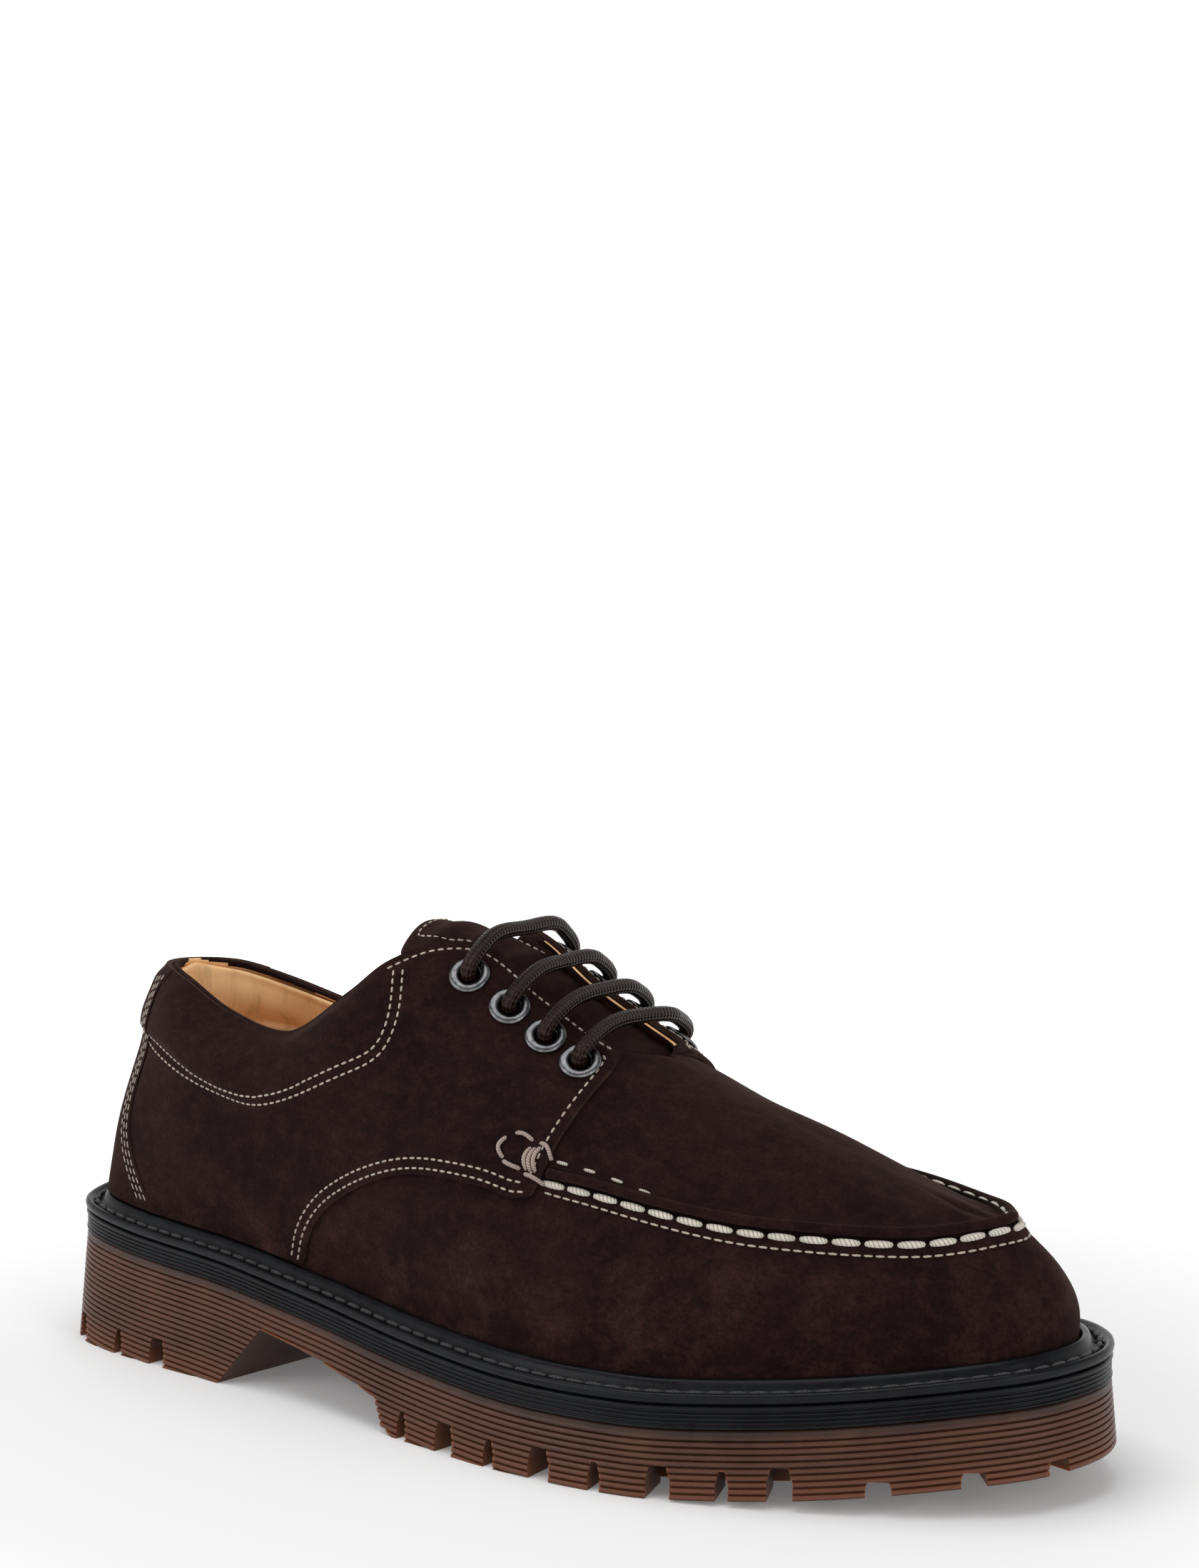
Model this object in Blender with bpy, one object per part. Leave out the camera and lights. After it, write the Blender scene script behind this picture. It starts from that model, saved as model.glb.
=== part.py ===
"""Moc toe derby shoe, right foot: a lug sole, a stitched welt and a hollow upper with its overlays.

X runs from heel to toe, +Y is the inner side of the foot, +Z is up, and the shoe stands on z = 0.
"""

import math

import bmesh
import bpy
import numpy as np
from mathutils import Matrix, Vector

# Driving sizes in metres
LENGTH = 0.3145
BALL_WIDTH = 0.116
HEEL_HEIGHT = 0.0370
SOLE_HEIGHT = 0.0254
TOE_SPRING = 0.0095
INSTEP_RISE = 0.093
COLLAR_RISE = 0.071
TOE_RISE = 0.0292

# Sole
WELT_THICKNESS = 0.0024
MIDSOLE_THICKNESS = 0.0059
INSOLE_THICKNESS = 0.003
SIDE_FLARE = 0.085
CHANNEL_WIDTH = 0.004
GROOVE_WIDTH = 0.004
GROOVE_DEPTH = 0.004
CHANNEL_INSET = 0.0115
RIB_PITCH = 0.00157
RIB_DEPTH = 0.0007
RIB_START = 0.0018
TOP_BEVEL = 0.0004
MIDSOLE_RIB_PITCH = 0.0014
MIDSOLE_RIBS = 3
LUG_HEIGHT = 0.0078
LUG_REACH = 0.012
TREAD_DEPTH = 0.005
NOTCH_WAIST = 0.55
TREAD_RIM = 0.0165
WELT_LEDGE = 0.0052
BEAD_WIDTH = 0.0024
BEAD_HEIGHT = 0.0022
BEAD_STEP = 0.0008
WELT_ROUND = 0.0005

# Upper and its overlays
WALL = 0.0018
PANEL = 0.0013
BACKSTAY_PANEL = 0.0017
COLLAR_STEP = 0.0017
COLLAR_PUFF = 0.0026
COLLAR_PAD = 0.0045
BEAD_SHARE = 0.1
BULGE_START = 0.16
MOC_RIDGE = 0.0011
MOC_LIFT = 0.0009
MOC_RIDGE_WIDTH = 0.0036
TONGUE_THICKNESS = 0.0026
TONGUE_UNDERLAP = (0.0078, 0.0044, 0.0008)
TONGUE_CROWN = 0.0012
COLLAR_EDGE = 0.0035
LINING_EDGE = 0.0008
LINING_FADE = (0.30, 0.385)
MEDIAL_LEAN = 0.028

# Eyelets and lace
LACE_DIAMETER = 0.0042
EYELET_BORE = 0.0056
EYELET_WALL = 0.0004
EYELET_FLANGE = 0.0112
EYELET_LIP = 0.0009
EYELET_ROUND = 0.0006
EYELET_COUNT = 4
EYELET_DEPTH = 0.0042
EYELET_EDGE = 0.0128
EYELET_STATIONS = (0.452, 0.486, 0.519, 0.551)
LACE_CLEARANCE = 0.0008
LACE_ARCH = 0.0012
LACE_ASIDE = 0.0062
# Where a bar leaves the facing: distances from its inner edge
LACE_REST = (0.0085, 0.0045, 0.001)

GAP = 0.0003
# How far a cutter reaches past what it cuts
REACH = 0.006
# Heights above the whole shoe and below it
ABOVE = 0.2
BELOW = 0.05
SLOT_END = 0.60
THROAT_TOP = 0.45
COLLAR_END = 0.375
SPRING_START = 0.700
ARCH_SHEAR = 0.16
MOC_START = 0.555
MOC_FULL = 0.60

# Shares of each side's outline where every layer has its points
STATIONS = [0.3 * k / 7 for k in range(8)]
STATIONS += [0.345, 0.385, 0.415, THROAT_TOP, 0.49, 0.53, 0.565, SLOT_END]
STATIONS += [0.645, 0.689, 0.733, 0.777, 0.821, 0.866, 0.91, 0.955, 1.0]
RING_COUNT = 2 * len(STATIONS) - 2

# The tongue above the throat: back from the throat's top, up, half width as a share of BALL_WIDTH, sag
TONGUE_TOP = (
    (0.0085, 0.0042, 0.155, 0.0062),
    (0.0175, 0.0066, 0.160, 0.0078),
    (0.0245, 0.0070, 0.140, 0.0078),
    (0.0290, 0.0062, 0.095, 0.0052),
    (0.0310, 0.0052, 0.050, 0.0020),
)

# Mesh detail
EYELET_SEGMENTS = 10
LACE_POINTS = 70
WALL_ROWS = (0.0, 0.14, 0.46, 0.83)
CROWN_ROWS = (0.3, 0.57, 0.82, 1.0)

FEATHER_INSET = WELT_LEDGE + BEAD_WIDTH + GAP
BAND = WELT_THICKNESS + MIDSOLE_THICKNESS

# Outline of the welt: share of LENGTH from the heel, share of BALL_WIDTH across
OUTLINE_LATERAL = (
    (0.0, 0.0),
    (0.007, -0.120),
    (0.030, -0.248),
    (0.095, -0.320),
    (0.220, -0.360),
    (0.355, -0.402),
    (0.475, -0.455),
    (0.585, -0.498),
    (0.675, -0.490),
    (0.775, -0.420),
    (0.870, -0.312),
    (0.935, -0.212),
    (0.974, -0.120),
    (0.993, -0.020),
    (1.0, 0.080),
)
OUTLINE_MEDIAL = (
    (0.988, 0.205),
    (0.948, 0.328),
    (0.875, 0.425),
    (0.790, 0.488),
    (0.700, 0.500),
    (0.600, 0.468),
    (0.490, 0.400),
    (0.380, 0.350),
    (0.250, 0.338),
    (0.105, 0.322),
    (0.034, 0.250),
    (0.008, 0.124),
)

# Height of the sole: share of LENGTH, share of TOE_SPRING below it, share of the heel's extra height
SOLE_PROFILE = (
    (0.0, 0.0, 1.42),
    (0.050, 0.0, 1.29),
    (0.117, 0.0, 1.12),
    (0.190, 0.0, 1.0),
    (0.250, 0.0, 0.88),
    (0.308, 0.0, 0.70),
    (0.379, 0.0, 0.49),
    (0.452, 0.0, 0.26),
    (0.519, 0.0, 0.12),
    (0.583, 0.0, 0.03),
    (0.656, 0.0, 0.0),
    (0.700, 0.0, 0.0),
    (0.746, 0.08, 0.0),
    (0.800, 0.22, 0.0),
    (0.858, 0.42, 0.0),
    (0.915, 0.68, 0.0),
    (0.963, 0.89, 0.0),
    (1.0, 1.0, 0.0),
)

# Underside of the waist: share of LENGTH, share of HEEL_HEIGHT
ARCH_PROFILE = (
    (0.234, 0.0),
    (0.286, 0.478),
    (0.337, 0.42),
    (0.388, 0.33),
    (0.436, 0.235),
    (0.446, 0.05),
    (0.460, 0.0),
)

# Notches between the rim lugs: share of LENGTH, kind
LUG_NOTCHES = (
    (0.004, "narrow"),
    (0.043, "wide"),
    (0.105, "narrow"),
    (0.160, "wide"),
    (0.474, "narrow"),
    (0.524, "wide"),
    (0.5735, "narrow"),
    (0.623, "wide"),
    (0.6725, "narrow"),
    (0.7236, "wide"),
    (0.7716, "narrow"),
    (0.813, "wide"),
    (0.880, "toe"),
    (0.941, "toe"),
    (0.986, "toe"),
)
# Their shapes: width at the tread, width at the top, height as a share of LUG_HEIGHT
NOTCH_KINDS = {
    "wide": (0.0062, 0.0044, 1.0),
    "narrow": (0.0032, 0.0014, 0.92),
    "toe": (0.0062, 0.005, 0.45),
}

# Cross grooves of the tread field: share of LENGTH, lean forward on the inner side in shares of LENGTH
CROSS_GROOVES = (
    (0.085, 0.0),
    (0.155, 0.02),
    (0.535, 0.03),
    (0.605, 0.03),
    (0.675, 0.03),
    (0.745, 0.02),
    (0.815, 0.0),
    (0.88, 0.0),
)
# Closed grooves behind the rim lugs: name, start and end as shares of LENGTH, points on each side
CHANNELS = (("heel_channel", 0.045, 0.215, 9), ("fore_channel", 0.50, 0.955, 17))

# Sections of the upper, heel to toe. at: share of the outline; seam and top: shares of LENGTH and
# BALL_WIDTH, then a height above the welt as a share of the named rise; turn: how late the side turns in;
# bulge: share of BALL_WIDTH; level: 1 where the crown ends level, 0 where it is straight; round: 1 for a
# quarter of an ellipse
UPPER_LATERAL = (
    (0.00, 0.062, 0.0, 0.72, 0.080, 0.0, 1.00, "collar", 1.05, 0.004, 0.10, 0.0),
    (0.065, 0.079, -0.149, 0.73, 0.097, -0.114, 1.015, "collar", 1.05, 0.004, 0.10, 0.0),
    (0.13, 0.136, -0.258, 0.73, 0.142, -0.197, 1.0, "collar", 1.7, 0.008, 0.10, 0.0),
    (0.20, 0.206, -0.316, 0.635, 0.212, -0.246, 0.915, "collar", 2.0, 0.014, 0.15, 0.0),
    (0.28, 0.289, -0.342, 0.595, 0.296, -0.274, 0.905, "collar", 2.2, 0.014, 0.20, 0.0),
    (0.345, 0.353, -0.346, 0.535, 0.363, -0.263, 0.852, "instep", 2.4, 0.014, 0.30, 0.1),
    (0.39, 0.396, -0.346, 0.600, 0.396, -0.235, 0.955, "instep", 2.4, 0.014, 0.50, 0.2),
    (0.42, 0.430, -0.349, 0.610, 0.430, -0.180, 1.020, "instep", 2.4, 0.014, 0.65, 0.3),
    (0.45, 0.464, -0.351, 0.595, 0.466, -0.110, 1.020, "instep", 2.4, 0.014, 0.75, 0.35),
    (0.50, 0.520, -0.360, 0.535, 0.525, -0.094, 0.905, "instep", 2.6, 0.014, 0.80, 0.35),
    (0.565, 0.590, -0.351, 0.465, 0.598, -0.090, 0.790, "instep", 2.8, 0.014, 0.85, 0.3),
    (0.60, 0.634, -0.346, 0.448, 0.631, 0.004, 0.760, "instep", 3.0, 0.014, 1.0, 0.25),
    (0.66, 0.698, -0.333, 0.418, 0.692, 0.013, 0.672, "instep", 3.2, 0.014, 1.0, 0.2),
    (0.73, 0.775, -0.289, 1.185, 0.762, 0.022, 1.860, "toe", 3.4, 0.014, 1.0, 0.1),
    (0.80, 0.842, -0.224, 1.095, 0.826, 0.026, 1.545, "toe", 3.2, 0.012, 1.0, 0.0),
    (0.87, 0.890, -0.140, 1.025, 0.870, 0.031, 1.310, "toe", 2.8, 0.008, 1.0, 0.0),
    (0.935, 0.919, -0.045, 1.005, 0.890, 0.035, 1.200, "toe", 2.4, 0.006, 1.0, 0.0),
    (1.00, 0.933, 0.044, 1.000, 0.900, 0.038, 1.155, "toe", 2.4, 0.006, 1.0, 0.0),
)
# Where the inner side differs: the same columns for those rows only
UPPER_MEDIAL_ROWS = (
    (0.065, 0.079, 0.149, 0.73, 0.097, 0.114, 0.985, "collar", 1.05, 0.004, 0.10, 0.0),
    (0.13, 0.136, 0.254, 0.71, 0.142, 0.197, 0.925, "collar", 1.7, 0.006, 0.10, 0.0),
    (0.20, 0.206, 0.300, 0.605, 0.212, 0.246, 0.840, "collar", 2.0, 0.008, 0.15, 0.0),
    (0.28, 0.289, 0.312, 0.560, 0.296, 0.272, 0.825, "collar", 2.2, 0.006, 0.20, 0.0),
    (0.345, 0.353, 0.316, 0.510, 0.363, 0.261, 0.785, "instep", 2.4, 0.006, 0.30, 0.1),
    (0.39, 0.398, 0.320, 0.590, 0.401, 0.219, 0.930, "instep", 2.4, 0.007, 0.50, 0.2),
    (0.42, 0.433, 0.326, 0.605, 0.436, 0.160, 1.020, "instep", 2.4, 0.009, 0.65, 0.3),
    (0.45, 0.468, 0.333, 0.590, 0.473, 0.090, 1.030, "instep", 2.4, 0.010, 0.75, 0.35),
    (0.50, 0.525, 0.350, 0.535, 0.532, 0.076, 0.920, "instep", 2.6, 0.013, 0.80, 0.35),
    (0.565, 0.597, 0.366, 0.462, 0.612, 0.080, 0.790, "instep", 2.8, 0.014, 0.85, 0.3),
    (0.60, 0.634, 0.370, 0.446, 0.631, 0.004, 0.760, "instep", 3.0, 0.014, 1.0, 0.25),
    (0.66, 0.698, 0.364, 0.418, 0.692, 0.013, 0.672, "instep", 3.2, 0.014, 1.0, 0.2),
    (0.73, 0.775, 0.330, 1.190, 0.762, 0.022, 1.860, "toe", 3.4, 0.014, 1.0, 0.1),
    (0.80, 0.842, 0.270, 1.100, 0.826, 0.026, 1.545, "toe", 3.2, 0.012, 1.0, 0.0),
    (0.87, 0.890, 0.195, 1.030, 0.870, 0.031, 1.310, "toe", 2.8, 0.008, 1.0, 0.0),
    (0.935, 0.919, 0.120, 1.005, 0.890, 0.035, 1.200, "toe", 2.4, 0.006, 1.0, 0.0),
)
UPPER_MEDIAL = UPPER_LATERAL[:1] + UPPER_MEDIAL_ROWS + UPPER_LATERAL[-1:]

# Side views of the overlays: share of LENGTH, height above the welt as a share of INSTEP_RISE
WING_EDGE = (
    (0.325, 0.035),
    (0.332, 0.105),
    (0.3445, 0.178),
    (0.360, 0.235),
    (0.3786, 0.284),
    (0.420, 0.368),
    (0.457, 0.417),
    (0.503, 0.438),
    (0.545, 0.434),
    (0.573, 0.426),
    (0.5815, 0.434),
)
FACING_EDGE = (
    (0.585, 0.470),
    (0.589, 0.545),
    (0.5960, 0.632),
    (0.6025, 0.700),
    (0.6055, 0.742),
    (0.6040, 0.772),
    (0.5980, 0.790),
    (0.5890, 0.800),
    (0.5800, 0.830),
    (0.5750, 0.950),
)
BACKSTAY_EDGE = (
    (0.138, 0.0),
    (0.123, 0.06),
    (0.108, 0.14),
    (0.095, 0.26),
    (0.098, 0.39),
    (0.109, 0.52),
    (0.115, 0.64),
    (0.122, 0.80),
    (0.126, 0.95),
)
RISES = {"collar": COLLAR_RISE, "instep": INSTEP_RISE, "toe": TOE_RISE}


def natural_spline(knots, values):
    """A natural cubic spline through the values, one column or several, as a function."""
    knots = np.asarray(knots, float)
    values = np.asarray(values, float)
    steps = np.diff(knots)
    count = len(knots)
    system = np.eye(count)
    right = np.zeros(values.shape)
    for i in range(1, count - 1):
        system[i, i - 1 : i + 2] = steps[i - 1], 2 * (steps[i - 1] + steps[i]), steps[i]
        right[i] = 6 * ((values[i + 1] - values[i]) / steps[i] - (values[i] - values[i - 1]) / steps[i - 1])
    bends = np.linalg.solve(system, right)

    def at(where):
        i = int(np.clip(np.searchsorted(knots, where, side="right") - 1, 0, count - 2))
        a = (knots[i + 1] - where) / steps[i]
        b = 1 - a
        cubic = ((a**3 - a) * bends[i] + (b**3 - b) * bends[i + 1]) * steps[i] ** 2 / 6
        return a * values[i] + b * values[i + 1] + cubic

    return at


def lengths_along(points):
    """Distance along a polyline at each of its points."""
    steps = np.linalg.norm(np.diff(points, axis=0), axis=1)
    return np.concatenate([[0.0], np.cumsum(steps)])


def outline_of_sole():
    """The welt's outline as a function of the share of each side, from heel (0) to toe (1)."""
    loop = np.array(OUTLINE_LATERAL + OUTLINE_MEDIAL)
    loop = np.column_stack([(loop[:, 0] - 0.5) * LENGTH, loop[:, 1] * BALL_WIDTH])
    wrap = 4
    points = np.vstack([loop[-wrap:], loop, loop[: wrap + 1]])
    knots = lengths_along(points)
    curve = natural_spline(knots, points)
    heel, toe, back = knots[wrap], knots[wrap + len(OUTLINE_LATERAL) - 1], knots[wrap + len(loop)]
    sides = {}
    for side, start, end in (("lateral", heel, toe), ("medial", back, toe)):
        fine = np.array([curve(k) for k in np.linspace(start, end, 241)])
        sides[side] = (lengths_along(fine), fine)
    return sides


OUTLINE = outline_of_sole()


def outline_point(side, share, inset=0.0):
    """A point of the outline, moved inwards square to it."""
    lengths, points = OUTLINE[side]
    here = share * lengths[-1]
    step = 0.004 * lengths[-1]
    place = np.array([np.interp(here, lengths, points[:, k]) for k in (0, 1)])
    if share < 0.002 or share > 0.998:
        return place + np.array([inset if share < 0.5 else -inset, 0.0])
    ends = []
    for d in (-step, step):
        ends.append([np.interp(np.clip(here + d, 0, lengths[-1]), lengths, points[:, k]) for k in (0, 1)])
    along = np.subtract(ends[1], ends[0])
    along /= np.linalg.norm(along)
    inwards = np.array([-along[1], along[0]]) if side == "lateral" else np.array([along[1], -along[0]])
    return place + inwards * inset


def ring_of(inset=0.0):
    """Stations round the whole outline: heel, outer side, toe, inner side."""
    lateral = [outline_point("lateral", at, inset) for at in STATIONS]
    medial = [outline_point("medial", at, inset) for at in STATIONS[-2:0:-1]]
    return np.array(lateral + medial)


def station_of(x):
    """Share of LENGTH at an x."""
    return x / LENGTH + 0.5


PROFILE = natural_spline([row[0] for row in SOLE_PROFILE], [row[1:] for row in SOLE_PROFILE])


def spring_at(x):
    """Height of the tread's own plane, which lifts towards the toe."""
    share = float(np.clip(station_of(x), 0.0, 1.02))
    return max(PROFILE(share)[0], 0.0) * TOE_SPRING if share > SPRING_START else 0.0


def welt_top(x):
    """Height of the welt's flat top."""
    share = float(np.clip(station_of(x), 0.0, 1.0))
    return spring_at(x) + SOLE_HEIGHT + PROFILE(share)[1] * (HEEL_HEIGHT - SOLE_HEIGHT)


def section_curve(side):
    """Seam, top and shape columns of one side at any share of the outline, carried on past heel and toe."""
    own, other = UPPER_LATERAL, UPPER_MEDIAL
    if side == "medial":
        own, other = other, own
    rows = [(-row[0],) + row[1:] for row in reversed(other[1:5])] + list(own)
    rows += [(2 - row[0],) + row[1:] for row in reversed(other[-5:-1])]
    metric = []
    for row in rows:
        at, seam_x, seam_y, seam_z, top_x, top_y, top_z, rise, *shape = row
        seam_x = (seam_x - 0.5) * LENGTH
        top_x = (top_x - 0.5) * LENGTH
        seam_z = welt_top(seam_x) + seam_z * RISES[rise]
        top_z = welt_top(top_x) + top_z * RISES[rise]
        metric.append([seam_x, seam_y * BALL_WIDTH, seam_z, top_x, top_y * BALL_WIDTH, top_z] + shape)
    return steady_curve([row[0] for row in rows], metric)


def steady_curve(knots, values):
    """A smooth curve through a table's rows that does not swing past them, as a function."""
    knots = np.asarray(knots, float)
    values = np.asarray(values, float)
    slopes = np.diff(values, axis=0) / np.diff(knots)[:, None]
    before = [3 * slopes[0] - 2 * slopes[1], 2 * slopes[0] - slopes[1]]
    after = [2 * slopes[-1] - slopes[-2], 3 * slopes[-1] - 2 * slopes[-2]]
    slopes = np.vstack([before, slopes, after])
    turns = np.abs(np.diff(slopes, axis=0)) + np.abs(slopes[1:] + slopes[:-1]) / 2 + 1e-9
    count = len(knots)
    ahead, behind = turns[2 : count + 2], turns[:count]
    tangents = (ahead * slopes[1 : count + 1] + behind * slopes[2 : count + 2]) / (ahead + behind)

    def at(where):
        i = int(np.clip(np.searchsorted(knots, where, side="right") - 1, 0, count - 2))
        step = knots[i + 1] - knots[i]
        t = (where - knots[i]) / step
        start = (1 + 2 * t) * (1 - t) ** 2 * values[i] + t * (1 - t) ** 2 * step * tangents[i]
        end = t * t * (3 - 2 * t) * values[i + 1] + t * t * (t - 1) * step * tangents[i + 1]
        return start + end

    return at


SECTIONS = {side: section_curve(side) for side in ("lateral", "medial")}


def section(side, at):
    """Feather point, outward direction, seam point, top point and shape values of one section."""
    values = SECTIONS[side](at).copy()
    if at >= SLOT_END - 1e-9:
        other = SECTIONS["medial" if side == "lateral" else "lateral"](at)
        values[3:6] = (values[3:6] + other[3:6]) / 2
    foot = outline_point(side, at, FEATHER_INSET)
    edge = outline_point(side, at)
    out = (edge - foot) / np.linalg.norm(edge - foot)
    feather = np.array([foot[0], foot[1], welt_top(foot[0]) - WELT_THICKNESS + GAP])
    return feather, np.array([out[0], out[1], 0.0]), values[:3], values[3:6], values[6:]


def upper_point(side, at, v):
    """The bare surface of the upper: v runs 0 to 1 from the feather to the seam, 1 to 2 on to the top."""
    feather, out, seam, top, (turn, bulge, level, rounded) = section(side, at)
    if v <= 1:
        across = max(v - BEAD_SHARE, 0.0) ** turn / (1 - BEAD_SHARE) ** turn
        point = feather + (seam - feather) * np.array([across, across, v])
        rise = min(max((v - BULGE_START) / (1 - BULGE_START), 0.0) * 1.12, 1.0)
        return point + out * bulge * BALL_WIDTH * math.sin(math.pi * rise)
    t = min(v - 1, 1.0)
    angle = max(level, 0.02) * math.pi / 2
    up = math.sin(angle * t) / math.sin(angle)
    across = (1 - rounded) * t + rounded * (1 - math.cos(math.pi * t / 2))
    return seam + (top - seam) * np.array([across, across, up])


def seam_span(side, at):
    """Length of the side below the seam and of the crown above it."""
    below = lengths_along(np.array([upper_point(side, at, v) for v in np.linspace(0, 1, 9)]))[-1]
    above = lengths_along(np.array([upper_point(side, at, 1 + t) for t in np.linspace(0, 1, 9)]))[-1]
    return below, above


def fade(value, start, end):
    """0 before start, 1 after end and smooth between."""
    t = min(max((value - start) / (end - start), 0.0), 1.0)
    return t * t * (3 - 2 * t)


def swell(side, at, v):
    """How far the upper's leather stands out from the bare surface: the collar's puff and the moc seam."""
    collar = 1 - fade(at, COLLAR_END - 0.03, COLLAR_END + 0.05)
    moc = fade(at, MOC_START, MOC_FULL)
    puff = 0.0
    if v > 1:
        puff = COLLAR_STEP * (1 - fade(v, 1.75, 2.0)) + COLLAR_PUFF * math.sin(math.pi * (v - 1) ** 0.8)
    below, above = seam_span(side, at)
    away = (1 - v) * below if v < 1 else (v - 1) * above
    return collar * puff + moc * MOC_LIFT * math.exp(-((away / MOC_RIDGE_WIDTH) ** 2))


def ridge(side, at, v):
    """Extra thickness of the wall along the moc seam."""
    below, above = seam_span(side, at)
    away = (1 - v) * below if v < 1 else (v - 1) * above
    return fade(at, MOC_START, MOC_FULL) * MOC_RIDGE * max(0.0, 1 - (away / (0.6 * MOC_RIDGE_WIDTH)) ** 2)


def top_point(side, at):
    """The end of a section at the topline, the facing's edge or the middle of the vamp."""
    return section(side, at)[3]


def surface_normal(side, at, v):
    """Outward normal of the bare surface."""
    d = 0.004
    low = max(v - d, 0.0)
    high = min(v + d, 2.0)
    if v == 1.0:
        low, high = 1.0 - 0.05, 1.0 + 0.05
    along = upper_point(side, min(at + d, 1.0), v) - upper_point(side, max(at - d, 0.0), v)
    if at < d or at > 1 - d:
        along = np.array([0.0, 1.0 if (at > 0.5) == (side == "lateral") else -1.0, 0.0])
    up = upper_point(side, at, high) - upper_point(side, at, low)
    normal = np.cross(along, up) if side == "lateral" else np.cross(up, along)
    if v > 1.999 and at >= SLOT_END - 1e-9:
        ridge_line = top_point(side, min(at + 0.03, 1.0)) - top_point(side, max(at - 0.03, SLOT_END))
        normal = np.array([-ridge_line[2], 0.0, ridge_line[0]])
    if at < 1e-6 or at > 1 - 1e-6:
        normal[1] *= 0.0
    return normal / np.linalg.norm(normal)


def leather_point(side, at, v, out=0.0):
    """A point on the upper's outer face, moved out from it."""
    return upper_point(side, at, v) + surface_normal(side, at, v) * (swell(side, at, v) + out)


scene_parts = None
scene_cutters = None


def clear_scene():
    """Removes what the startup scene holds and makes the collections."""
    for obj in list(bpy.data.objects):
        bpy.data.objects.remove(obj, do_unlink=True)
    made = []
    for name in ("moc_toe_shoe", "cutters"):
        group = bpy.data.collections.new(name)
        bpy.context.scene.collection.children.link(group)
        made.append(group)
    return made


def make_material(name, colour, roughness, metallic=0.0):
    """A plain coloured surface."""
    material = bpy.data.materials.new(name)
    material.use_nodes = True
    shader = material.node_tree.nodes["Principled BSDF"]
    shader.inputs["Base Color"].default_value = (*colour, 1.0)
    shader.inputs["Roughness"].default_value = roughness
    shader.inputs["Metallic"].default_value = metallic
    material.diffuse_color = (*colour, 1.0)
    return material


def add_mesh(name, points, faces, group, material=None, smooth=True):
    """A mesh object with its faces turned outwards."""
    mesh = bpy.data.meshes.new(name)
    mesh.from_pydata([tuple(map(float, p)) for p in points], [], faces)
    work = bmesh.new()
    work.from_mesh(mesh)
    bmesh.ops.remove_doubles(work, verts=work.verts, dist=1e-6)
    bmesh.ops.recalc_face_normals(work, faces=work.faces)
    if work.calc_volume(signed=True) < 0:
        bmesh.ops.reverse_faces(work, faces=work.faces)
    work.to_mesh(mesh)
    work.free()
    mesh.polygons.foreach_set("use_smooth", [smooth] * len(mesh.polygons))
    if material:
        mesh.materials.append(material)
    obj = bpy.data.objects.new(name, mesh)
    group.objects.link(obj)
    if group is scene_cutters:
        obj.hide_render = True
        obj.display_type = "WIRE"
    return obj


def cut(obj, cutter, operation="DIFFERENCE"):
    """Cuts obj with the cutter, or keeps what is inside it."""
    boolean = obj.modifiers.new(cutter.name, "BOOLEAN")
    boolean.object = cutter
    boolean.operation = operation
    boolean.solver = "EXACT"


def ring_faces(rows, count):
    """Quads between rows of closed rings."""
    faces = []
    for r in range(rows - 1):
        for k in range(count):
            n = (k + 1) % count
            faces.append((r * count + k, r * count + n, (r + 1) * count + n, (r + 1) * count + k))
    return faces


def outline_rows(rows):
    """Rings round the outline from (height below the welt's top, how far outside the outline) rows."""
    points = []
    edge = ring_of()
    inner = ring_of(0.001)
    out = (edge - inner) / 0.001
    for depth, outside in rows:
        for place, direction in zip(edge, out):
            x, y = place + direction * outside
            points.append((x, y, welt_top(x) - depth))
    return points


def side_plate(name, rows, material):
    """A plate whose side follows the rows, closed flat above and below."""
    points = outline_rows(rows)
    faces = ring_faces(len(rows), RING_COUNT)
    top = list(range(RING_COUNT))
    bottom = [(len(rows) - 1) * RING_COUNT + k for k in top]
    faces += strip_cap(top) + strip_cap(bottom)
    return add_mesh(name, points, faces, scene_parts, material)


def strip_cap(ring):
    """Quads across a ring between the outer and the inner side, with a triangle at each end."""
    count = len(ring)
    half = count // 2
    faces = [(ring[0], ring[1], ring[-1])]
    for k in range(1, half - 1):
        faces.append((ring[k], ring[k + 1], ring[count - k - 1], ring[count - k]))
    faces.append((ring[half - 1], ring[half], ring[half + 1]))
    return faces


def prism(name, outline, low, high, group, shear=0.0):
    """A side-view outline of (x, z) points in metres, drawn out across the shoe."""
    curve = bpy.data.curves.new(name, "CURVE")
    curve.dimensions = "2D"
    curve.fill_mode = "BOTH"
    curve.extrude = (high - low) / 2
    line = curve.splines.new("POLY")
    line.points.add(len(outline) - 1)
    for point, (x, z) in zip(line.points, outline):
        point.co = (x, z, 0.0, 1.0)
    line.use_cyclic_u = True
    flat = bpy.data.objects.new(name + "_outline", curve)
    turned = Matrix(((1, 0, 0, 0), (0, 0, -1, (low + high) / 2), (0, 1, 0, 0), (0, 0, 0, 1)))
    mesh = bpy.data.meshes.new_from_object(flat)
    bpy.data.objects.remove(flat)
    bpy.data.curves.remove(curve)
    mesh.transform(turned)
    for vertex in mesh.vertices:
        vertex.co.x += shear * (vertex.co.y + BALL_WIDTH / 2)
    points = [tuple(v.co) for v in mesh.vertices]
    faces = [tuple(f.vertices) for f in mesh.polygons]
    bpy.data.meshes.remove(mesh)
    return add_mesh(name, points, faces, group, smooth=False)


def share_of_x(side, share):
    """Share of one side's outline where it reaches a share of LENGTH."""
    lengths, points = OUTLINE[side]
    return float(np.interp((share - 0.5) * LENGTH, points[:, 0], lengths / lengths[-1]))


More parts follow.
